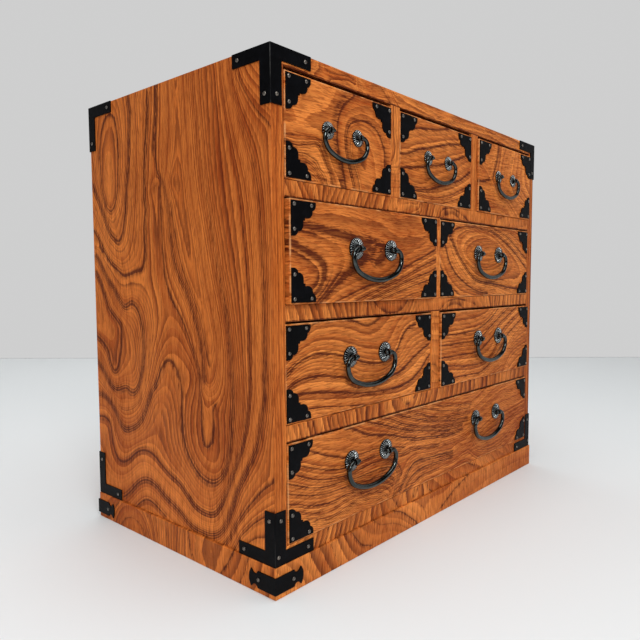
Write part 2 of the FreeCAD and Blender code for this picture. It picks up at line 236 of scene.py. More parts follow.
def buildFigureGroup():
    tree, given, outside = newTree("ringFigure", "ShaderNodeTree", [
        ("Vector", "Vector"), ("Ring", "Float", 0.0), ("Bold", "Float", 0.0), ("Cross", "Float", 0.0),
        ("Fine", "Float", 0.3), ("Rim", "Float", 20.0), ("Pale", "Color", srgb(246, 150, 70)),
        ("Warm", "Color", srgb(154, 61, 11)), ("Late", "Color", srgb(82, 28, 8)),
        ("Worn", "Color", srgb(226, 160, 104)), ("Streaks", "Float", 0.38), ("Wear", "Float", 0.7)], skinOutputs)
    place, streaks, late = given["Vector"], given["Streaks"], given["Late"]
    # fibres run along the board: the fourth axis runs across them
    cloud = noise(tree, place, 7.0)
    lane = given["Cross"] + cloud * 30.0
    fibre = noise(tree, place, 60.0, 3.0, 0.7, lane * 0.8)
    streak = ramp(tree, fibre, 0.36, 0.64)
    dash = ramp(tree, noise(tree, place, 130.0, 1.0, 0.6, lane * 1.25), 0.49, 0.6)
    ripple = (streak - 0.5) * 0.2 + (dash - 0.4) * 0.2
    ring = given["Ring"] + (ripple * 0.28 + (noise(tree, place, 60.0, 3.0, 0.55) - 0.5) * 0.25)
    part = calc(tree, "FRACT", ring)
    edge = ramp(tree, part, 0.0, 0.07) * ramp(tree, part, 0.1, 0.95, 1.0, 0.0)  # sharp, then fading
    chance = put(tree, "ShaderNodeTexWhiteNoise", noise_dimensions="1D")
    feed(chance.inputs["W"], calc(tree, "FLOOR", ring))
    year = Signal(chance.outputs["Value"])
    tone = calc(tree, "ADD", 0.52 + (year - 0.5) * 0.4 + (cloud - 0.5), (streak - 0.5) * streaks, clamp=True)
    body = blend(tree, tone, given["Pale"], given["Warm"])
    thin = edge * given["Fine"] * (0.6 + year)
    feather = given["Bold"] * (0.52 + (edge * 0.8 + ripple * 1.4))
    broad = ramp(tree, feather, 0.1, 0.72, smooth=False) * ramp(tree, streak, 0.1, 0.9, 0.82, 0.98)
    dark = calc(tree, "MAXIMUM", thin, broad, clamp=True)
    prick = dash * ramp(tree, streak, 0.0, 0.7, 0.35, 1.0)
    body = blend(tree, prick * (streaks * 1.1), blend(tree, dark, body, late), late)
    # lighter arrises, partly rubbed wear and partly painted highlight: a paler colour and a little rougher near each
    # arris
    rubAndHighlight = ramp(tree, given["Rim"], 1.7, 0.1) * ramp(tree, noise(tree, place, 90.0, 3.0, 0.6), 0.4, 0.6)
    rubAndHighlight = rubAndHighlight * given["Wear"]
    gloss = ramp(tree, cloud, 0.3, 0.7, 0.42, 0.55) + prick * 0.18 + rubAndHighlight * 0.15
    giveSkin(outside, blend(tree, rubAndHighlight, body, given["Worn"]), gloss, fibre * 0.5 - prick * 0.6 + dark * 0.25)
    return tree


def buildForgeGroup():
    tree, given, outside = newTree("forgedSkin", "ShaderNodeTree", [
        ("Vector", "Vector"), ("Base", "Color", srgb(30, 32, 36)), ("Dust", "Color", srgb(74, 78, 80)),
        ("Grain", "Float", 260.0), ("Rough", "Float", 0.5)], skinOutputs)
    hammer = noise(tree, given["Vector"], 130.0, 3.0, 0.55)
    speck = noise(tree, given["Vector"], given["Grain"], 3.0)
    colour = blend(tree, ramp(tree, hammer, 0.42, 0.72) * 0.55, given["Base"], given["Dust"])
    giveSkin(outside, colour, given["Rough"] + (speck - 0.5) * 0.3, hammer * 0.7 + speck * 0.3)
    return tree


figureGroup = buildFigureGroup()
forgeGroup = buildForgeGroup()


def newMaterial(name, group, values, shine, lift, depth):
    # values: a number or colour for an input of the group, or the name of the attribute that it reads
    mat = bpy.data.materials.new(name)
    mat.use_nodes = True
    tree = mat.node_tree
    shader = tree.nodes["Principled BSDF"]
    for label, value in shine.items():
        shader.inputs[label].default_value = value
    coords = tree.nodes.new("ShaderNodeTexCoord")
    use = put(tree, "ShaderNodeGroup", node_tree=group)
    feed(use.inputs["Vector"], coords.outputs["Object"])
    for label, value in values.items():
        if isinstance(value, str):
            value = put(tree, "ShaderNodeAttribute", attribute_name=value).outputs["Fac"]
        feed(use.inputs[label], value)
    bump = put(tree, "ShaderNodeBump", {"Strength": lift, "Distance": depth, "Height": use.outputs["Height"]})
    feed(shader.inputs["Base Color"], use.outputs["Color"])
    feed(shader.inputs["Roughness"], use.outputs["Roughness"])
    feed(shader.inputs["Normal"], bump.outputs["Normal"])
    return mat


def objectPlace(tree):
    coords = next(node for node in tree.nodes if node.type == "TEX_COORD").outputs["Object"]
    return coords, [Signal(part) for part in put(tree, "ShaderNodeSeparateXYZ", {0: coords}).outputs]


def plainGrain(mat):
    # level fibres: rings are counted up the walls and across the floor of a box
    tree = mat.node_tree
    use = next(node for node in tree.nodes if node.type == "GROUP")
    coords, place = objectPlace(tree)
    normal = tree.nodes.new("ShaderNodeNewGeometry").outputs["True Normal"]
    facing = put(tree, "ShaderNodeSeparateXYZ", {0: normal}).outputs[2]
    flat = calc(tree, "GREATER_THAN", calc(tree, "ABSOLUTE", facing), 0.5)
    cross = (flat * place[1] + (1.0 - flat) * place[2]) / mm
    feed(use.inputs["Cross"], cross)
    feed(use.inputs["Ring"], cross / 6.0 + noise(tree, coords, 9.0) * 4.0)


def bendWearAndHighlight(mat, node):
    # a bright line down the outer bend of the corner irons, partly rubbed bare iron and partly painted highlight; the
    # painted highlight is brighter at the top
    low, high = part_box(node)
    middle, corner = (low[1] + high[1]) / 2, high[0] + (high[1] - low[1]) / 2
    tree = mat.node_tree
    coords, place = objectPlace(tree)
    reach = calc(tree, "ABSOLUTE", place[0]) + calc(tree, "ABSOLUTE", place[1] - middle)
    rubAndHighlight = ramp(tree, reach, corner - 0.0006, corner - 0.0002)
    rubAndHighlight = rubAndHighlight * ramp(tree, noise(tree, coords, 45.0, 3.0, 0.6), 0.36, 0.6)
    # painted highlight: stronger higher up, weaker on the lower irons
    rubAndHighlight = rubAndHighlight * ramp(tree, place[2], 0.1, 0.33, 0.18, 1.0)
    socket = tree.nodes["Principled BSDF"].inputs["Base Color"]
    feed(socket, blend(tree, rubAndHighlight, socket.links[0].from_socket, srgb(176, 174, 168)))


fields = {"Ring": "ring", "Bold": "bold", "Fine": "fine", "Rim": "rim", "Cross": "cross"}
dull = {"Specular IOR Level": 0.1}
keyaki = newMaterial("keyaki", figureGroup, fields, dull, 0.35, 0.0004)
caseKeyaki = newMaterial("caseKeyaki", figureGroup, {
    **fields, "Pale": srgb(236, 136, 58), "Warm": srgb(150, 60, 11), "Streaks": 0.3}, dull, 0.35, 0.0004)
drawerWood = newMaterial("drawerWood", figureGroup, {
    "Pale": srgb(222, 186, 138), "Warm": srgb(196, 152, 102), "Late": srgb(150, 104, 62), "Fine": 0.3,
    "Streaks": 0.45}, {}, 0.3, 0.0004)
plainGrain(drawerWood)


def newIron(name, base, dust, grain, rough, shine, lift, depth):
    values = {"Base": srgb(*base), "Dust": srgb(*dust), "Grain": grain, "Rough": rough}
    return newMaterial(name, forgeGroup, values, shine, lift, depth)


blackIron, bracketIron = (newIron(name, (3, 3, 5), (10, 11, 16), 420.0, 0.5, {"Specular IOR Level": 0.07},
                                  0.25, 0.0004) for name in ("blackIron", "bracketIron"))
bendWearAndHighlight(bracketIron, "case_corner_brackets")
nailIron = newIron("nailIron", (112, 106, 100), (140, 132, 122), 600.0, 0.3, {"Metallic": 0.9}, 0.3, 0.0003)
rosetteIron = newIron("rosetteIron", (146, 150, 150), (70, 74, 74), 900.0, 0.12, {"Metallic": 1.0}, 0.3, 0.0003)
forgedIron = newIron("forgedIron", (64, 69, 68), (92, 95, 92), 700.0, 0.13, {"Metallic": 1.0}, 0.4, 0.0006)
print("materials ready")


# boards: rounded blocks that carry their growth rings as attributes
# shadeLine: how far up a rail's front the painted shade line reaches from its lower arris, mm
board = {"arris": 0.55, "rims": (1.6, 3.2), "pull": (0, 0.293, 0.423), "farRim": 20, "drift": 0.02,
         "across": 0.2, "shadeLine": 0.6}


def linesAlong(low, high, cell):
    edge = [d for d in (board["arris"], *board["rims"]) if d < (high - low) * 0.45]
    inner = edge[-1]
    count = max(1, round((high - low - 2 * inner) / cell))
    middle = np.linspace(low + inner, high - inner, count + 1)
    return np.array([low, *(low + d for d in edge[:-1]), *middle, *(high - d for d in reversed(edge[:-1])), high])


def gridBlock(low, high, cells):
    lines = [linesAlong(low[k], high[k], cells[k]) for k in range(3)]
    index, points, quads, faceOf = {}, [], [], []

    def corner(key):
        if key not in index:
            index[key] = len(points)
            points.append([lines[k][key[k]] for k in range(3)])
        return index[key]

    for axis in range(3):
        u, v = [(1, 2), (2, 0), (0, 1)][axis]
        for side in (0, 1):
            at = side * (len(lines[axis]) - 1)
            for a in range(len(lines[u]) - 1):
                for b in range(len(lines[v]) - 1):
                    loop = []
                    for da, db in ((0, 0), (1, 0), (1, 1), (0, 1)):
                        key = [0, 0, 0]
                        key[axis], key[u], key[v] = at, a + da, b + db
                        loop.append(corner(tuple(key)))
                    quads.append(loop if side else loop[::-1])
                    faceOf.append((axis, side))
    points = np.array(points)
    atLow, atHigh = points <= np.array(low) + 1e-6, points >= np.array(high) - 1e-6
    touching = (atLow | atHigh).sum(axis=1)
    # a small round: points on an edge come in a little, and points on a corner a little more
    pull = board["arris"] * np.choose(np.clip(touching - 1, 0, 2), board["pull"])
    points = points + atLow * pull[:, None] - atHigh * pull[:, None]
    return points, np.array(quads), np.array(faceOf)


def spread(points, step):
    # a smooth curve through drawn points, at about one point for each step
    p = np.array(points, float).reshape(-1, 2)
    if len(p) < 3:
        n = max(2, int(np.linalg.norm(p[-1] - p[0]) / step) + 1)
        return p[0] + np.linspace(0, 1, n)[:, None] * (p[-1] - p[0])
    closed = np.allclose(p[0], p[-1])
    before, after = (p[-2], p[1]) if closed else (2 * p[0] - p[1], 2 * p[-1] - p[-2])
    q = np.vstack([before, p, after])
    out = []
    for k in range(1, len(q) - 2):
        n = max(1, int(round(np.linalg.norm(q[k + 1] - q[k]) / step)))
        t = (np.arange(n) / n)[:, None]
        a, b, c, d = q[k - 1:k + 3]
        out.append(0.5 * (2 * b + (c - a) * t + (2 * a - 5 * b + 4 * c - d) * t**2 + (3 * b - a - 3 * c + d) * t**3))
    if not closed:
        out.append(p[-1:])
    return np.vstack(out)


ringing = {"size": 100.0, "soft": 2e-4, "dense": 2.0, "batch": 4000, "halo": 0.3, "haloWide": 7}


def kernel(a, b):
    d2 = ((a[:, None, :] - b[None, :, :]) ** 2).sum(axis=2)
    return 0.5 * d2 * np.log(d2 + 1e-12)


def ringField(figure):
    # figure: drawn lines, and the rings pass smoothly through them all. A line has its level, its darkness
    # (or that at its two ends), its points as x, y, x, y and so on, and if need be how wide its band is below
    # and above. A short line straight across a rail has its x at the rail's top and foot instead of points.
    # gives at any place the ring number, the darkness of the broad bands and the strength of the fine lines
    wide, split, fine = figure.get("wide", (1.8, 1.8)), figure.get("split", 3), figure.get("fine", 0.3)
    step, drawn = figure.get("step", 9.0), []
    for level, dark, points, *more in figure["lines"]:
        if not isinstance(points, list):
            (top, foot), atTop, atFoot = figure["span"], points, more.pop()
            points = [atTop, top, atFoot, foot]
        ends = dark if isinstance(dark, tuple) else (dark, dark)
        drawn.append((level, ends, spread(points, step), spread(points, ringing["dense"]), more[0] if more else wide))
    knots = np.vstack([line[2] for line in drawn])
    levels = np.concatenate([[line[0]] * len(line[2]) for line in drawn])
    middle = knots.mean(axis=0)
    knots = (knots - middle) / ringing["size"]
    dense = np.vstack([line[3] for line in drawn])
    denseLevel, below, above = np.vstack([[(line[0], *line[4])] * len(line[3]) for line in drawn]).T
    denseDark = np.concatenate([np.linspace(*line[1], len(line[3])) for line in drawn])
    n = len(knots)
    edge = np.hstack([np.ones((n, 1)), knots])
    system = np.zeros((n + 3, n + 3))
    system[:n, :n] = kernel(knots, knots) + np.eye(n) * ringing["soft"]
    system[:n, n:], system[n:, :n] = edge, edge.T
    solved = np.linalg.solve(system, np.concatenate([levels, np.zeros(3)]))

    def at(u, v):
        places = np.stack([u, v], axis=1)
        ring, bold = np.empty(len(places)), np.empty(len(places))
        for s in range(0, len(places), ringing["batch"]):
            part = slice(s, s + ringing["batch"])
            q = (places[part] - middle) / ringing["size"]
            ring[part] = kernel(q, knots) @ solved[:n] + np.hstack([np.ones((len(q), 1)), q]) @ solved[n:]
            d2 = ((places[part][:, None, :] - dense[None, :, :]) ** 2).sum(axis=2)
            d2 = d2 / np.where(ring[part][:, None] < denseLevel[None, :], below[None, :], above[None, :]) ** 2
            near = np.maximum(np.exp(-d2), ringing["halo"] * np.exp(-d2 / ringing["haloWide"]))
            bold[part] = (denseDark * near).max(axis=1)
        return ring * split, bold, np.full(len(ring), fine)
    return at


def straightField(pitch, lean=0.0, waves=0.25, seed=0, bold=0.3, along=0):
    # straight grain, rings a pitch apart
    def at(u, v):
        run, cross = (u, v) if along == 0 else (v, u)
        sway = waves * (np.sin(run / 61 + seed) + 0.6 * np.sin(run / 23 + 2.1 * seed + cross / 40))
        ring = (cross - lean * run) / pitch + sway + seed * 10
        return ring, np.zeros(len(ring)), bold * (0.7 + 0.3 * np.sin(cross / 9.3 + seed * 1.7))
    return at


def archField(centre, width, length, pitch, seed=0, along=0):
    # flat-sawn figure: nested pointed arches about a centre line
    def at(u, v):
        run, cross = (u, v) if along == 0 else (v, u)
        bow = np.sqrt(((cross - centre - 6 * np.sin(run / 90 + seed)) / width) ** 2 + 0.02)
        ring = (run / length + bow * (1.6 + 0.5 * np.sin(seed))) * (100 / pitch) + seed * 10
        ring = ring + 0.12 * np.sin(run / 17 + seed) + 0.3 * np.sin(cross / 31 + run / 47 + seed)
        return ring, 0.35 * np.sin(ring * 0.9 + seed) ** 8, np.full(len(ring), 0.5)
    return at


def makeBoard(name, node, cells, face, main, body="case", front=None, mitre=None, edgeWearAndHighlight=0.3, grain=None, skin=None,
              dim=(), frontGrain="x"):
    # cells: how fine the grid is, in mm; face: which two directions the main figure lies in ("xz", "yz" or "xy")
    # front: figure of the narrow front; grain: the direction across the fibres; edgeWearAndHighlight: how much the
    # arrises are lightened, by rubbed wear and painted highlight
    # mitre: the directions of the thickness and of the slope, and where the outer face is
    # dim: faces painted dark with shade, as (direction, side, how dark)
    grain = grain or face[0 if face == "yz" else 1]
    low, high = ([v / mm for v in c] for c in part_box(node))
    points, quads, faceOf = gridBlock(low, high, cells)
    case = points + np.array([-leftX, -frontY, 0])
    axes = {"x": 0, "y": 1, "z": 2}
    ring, bold, fine = main(case[:, axes[face[0]]], case[:, axes[face[1]]])
    third = case[:, 3 - axes[face[0]] - axes[face[1]]]
    ring = ring + (third - third.min()) * board["drift"]
    ringOf, boldOf, fineOf = ring[quads], bold[quads], fine[quads]
    crossOf = case[:, axes[grain]][quads].copy()
    there = (faceOf[:, 0] == 1) & (faceOf[:, 1] == 0)
    if front is not None:
        used = np.unique(quads[there])
        crossOf[there] = case[:, axes[frontGrain]][quads[there]]
        for store, values in zip((ringOf, boldOf, fineOf), front(case[used, 0], case[used, 2])):
            whole = np.zeros(len(points))
            whole[used] = values
            store[there] = whole[quads[there]]
    # thin rings show best where they run with the fibres
    slope = np.stack([ringOf[:, 1] + ringOf[:, 2] - ringOf[:, 0] - ringOf[:, 3],
                      ringOf[:, 3] + ringOf[:, 2] - ringOf[:, 0] - ringOf[:, 1]], axis=1)
    reach = np.stack([np.linalg.norm(case[quads[:, k]] - case[quads[:, 0]], axis=1) for k in (1, 3)], axis=1)
    lean = np.abs(np.stack([crossOf[:, k] - crossOf[:, 0] for k in (1, 3)], axis=1)) / reach
    slope = np.abs(slope / reach)
    lined = (slope * lean).sum(axis=1) / (np.linalg.norm(slope, axis=1) + 1e-9)
    fineOf = fineOf * (board["across"] + (1 - board["across"]) * np.clip(lined, 0, 1) ** 2)[:, None]
    gap = np.minimum(points - np.array(low), np.array(high) - points)
    gap = np.sort(np.abs(gap), axis=1)[:, 1]  # how far the nearest arris is
    rimOf = (np.minimum(gap, board["farRim"]) + (1 - edgeWearAndHighlight) * board["rims"][0])[quads]
    # painted shade: the listed faces get a dark band value, for the shade in the gaps between drawers and rails
    for axis, side, depth in dim:
        boldOf[(faceOf[:, 0] == axis) & (faceOf[:, 1] == side)] = depth
        if side == 0 and front is not None:  # painted shade along the lower arris of the front as well
            boldOf[there[:, None] & (points[quads][:, :, axis] < low[axis] + board["shadeLine"])] = depth
    if mitre:
        across, along, outer = mitre  # the ends slope in at 45 degrees
        middle, half = (low[along] + high[along]) / 2, (high[along] - low[along]) / 2
        points[:, along] = middle + (points[:, along] - middle) * (1 - np.abs(points[:, across] - outer) / half)
    mesh = bpy.data.meshes.new(name)
    mesh.from_pydata((points * mm).tolist(), [], quads.tolist())
    for label, values in (("ring", ringOf), ("bold", boldOf), ("fine", fineOf), ("rim", rimOf), ("cross", crossOf)):
        store = mesh.attributes.new(label, "FLOAT", "CORNER")
        store.data.foreach_set("value", values.astype(np.float32).ravel())
    mesh.materials.append(skin or caseKeyaki)
    piece = newObject(name, mesh)
    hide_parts(node)
    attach(piece, body)


# growth rings: all points in mm from the case's left front edge and the floor
# split: how many rings lie between one level and the next; span: the top and foot of a rail
sideFigure = {"step": 12, "wide": (2.4, 4.6), "fine": .5, "lines": [
    (12, .7, [228, 403, 216, 398, 211, 380, 210.5, 358, 213, 334, 218, 317, 227, 309.5, 236, 315, 243, 331, 246, 352,
     245.5, 377, 238, 396, 228, 403]),
    (11, .35, [203, 409, 200, 389, 199, 369, 200.5, 346.5, 204, 329, 209, 314, 217, 304, 225.5, 299, 235.5, 306.5,
     243, 319, 250.5, 336.5, 255.5, 354, 258, 371.5]),
    (10, 1, [190.5, 413, 189, 399, 190, 376.5, 193, 351.5, 197, 329, 200.5, 306.5, 205.5, 289, 213, 280.3, 219, 281,
     230.5, 289, 239, 301.5, 248, 316.5, 254, 326.5, 260.5, 336.5]),
    (9, .4, [184, 400, 183, 364, 187, 331, 190.5, 306, 195.5, 286, 203, 274, 213, 270.3, 225.5, 276.5, 238, 289, 248,
     301.5, 258, 316.5]),
    (8, .3, [176, 405, 175, 370, 178, 335, 181, 300, 186, 275, 198, 262, 212, 259, 226, 265, 242, 280, 258, 303]),
    (7, 1, [158, 409, 159, 394, 163, 369, 165.5, 351.5, 167, 331.5, 167, 314, 165.5, 309, 168, 294, 168, 274, 169,
     261.5, 174, 252.8, 185.5, 250.3, 198, 247.8, 208, 247, 220.5, 254, 233, 261.5, 243, 271.5, 253, 284, 260.5,
     291.5]),
    (7, .4, [253, 140, 238, 129, 223, 119, 205.5, 117.8, 188, 126.5, 175.5, 144, 168, 164, 163, 181.5, 158, 201.5,
     160.5, 221.5, 170.5, 236.5, 185.5, 241.5, 203, 240.3, 215.5, 241.5, 230.5, 254, 245.5, 266.5, 258, 277.8]),
    (9, 1, [263, 161.5, 250.5, 151.5, 240.5, 141.5, 230.5, 136, 218, 136.5, 208, 139, 198, 135.3, 188, 140.3, 180.5,
     154, 175.5, 171.5, 175, 189, 178, 206.5, 185.5, 219, 195.5, 222.8, 207, 219, 215.5, 225.3, 225.5, 236.5, 238,
     246.5, 248, 259, 258, 269]),
    (12, 1, [263, 186.5, 250.5, 180.3, 242, 172.8, 237, 161.5, 230.5, 154, 223, 156.5, 218, 166.5, 214, 179, 213,
     191.5, 215.5, 201.5, 225.5, 209, 235.5, 216.5, 243, 229, 250.5, 241.5, 258, 251.5]),
    (6, .8, [145.5, 414, 147, 389, 150.5, 364, 149, 344, 146, 336, 142, 331, 144, 322, 143, 304, 142, 274, 140.5, 254,
     137, 239, 128, 224, 113, 206.5, 103, 189, 93, 169, 90.5, 149, 91, 120, 86, 103, 78, 104, 72, 115, 70, 140]),
    (4, 1, [263, 127.8, 253, 126.5, 243, 122.8, 230.5, 114, 223, 104, 213, 97.8, 200.5, 100.3, 188, 106.5, 178, 116.5,
     170.5, 129, 163, 141.5, 155.5, 149, 148, 161.5, 138, 170.3, 130.5, 169, 123, 159, 119, 144, 118, 126.5, 117, 109,
     113, 96.5, 105.5, 86.5, 95.5, 77.8, 83, 73.5, 70.5, 75.3, 60.5, 84, 54, 96.5, 50.5, 114]),
    (8, .8, [138, 329, 133, 306.5, 128, 274, 119, 249, 108, 234, 98, 214, 90.5, 196.5, 86.8, 176.5, 84.3, 159]),
    (9, .6, [128, 309, 120.5, 276.5, 113, 254, 100.5, 231.5, 90.5, 214, 84.3, 194, 79.3, 174]),
    (9.6, .1, [74, 190, 86, 235, 96, 280, 106, 330, 114, 414]),
    (4, (1, .2), [50.5, 114, 48, 134, 47, 154, 48, 176.5, 50.5, 201.5, 55.5, 226.5, 63, 254, 69, 281.5, 75.5, 309,
     80.5, 339, 84, 369, 87, 394, 88, 414]),
    (1, .9, [263, 102.8, 248, 102.8, 242, 99, 239, 86.5, 235.5, 74, 228, 65.3, 218, 64, 205.5, 69, 193, 77.8, 178,
     82.8, 165.5, 81.5, 153, 75.3, 138, 67.8, 123, 62.8, 110.5, 54, 100.5, 47.8, 85.5, 45.3, 73, 47.8, 63, 59, 55.5,
     71.5, 48, 86.5, 38, 106.5, 30.5, 126.5]),
    (1, (.9, .25), [30.5, 126.5, 27, 149, 25.5, 176.5, 27, 239, 30.5, 274, 35.5, 309, 43, 339, 50.5, 369, 55.5, 394,
     58, 414]),
    (-2, .9, [215.5, 30, 203, 39, 190.5, 49, 175.5, 54.8, 160.5, 52.8, 145.5, 45.3, 128, 39, 113, 31.5, 103, 27.8, 78,
     27.8, 63, 36.5, 53, 51.5, 43, 74, 30.5, 94, 18, 116.5, 12, 139]),
    (-2, (.9, .3), [12, 139, 9, 164, 9, 239, 10.5, 274, 13, 304, 19, 331.5, 28, 354, 37, 374, 45.5, 399, 48, 414]),
    (-4, .7, [193, 26.5, 178, 35.3, 163, 34, 148, 27.8]),
    (-4, .7, [60, 25, 50, 38, 43, 49, 28, 66.5, 13, 81.5, 0, 91.5]),
    (-4, .6, [40, 414, 33, 394, 20, 376, 8, 364, 0, 356]), (-6, .6, [48, 25, 38, 40, 25, 52, 10, 62, 0, 68]),
    (-7, .5, [40, 25, 30, 36, 15, 44, 0, 48])]}

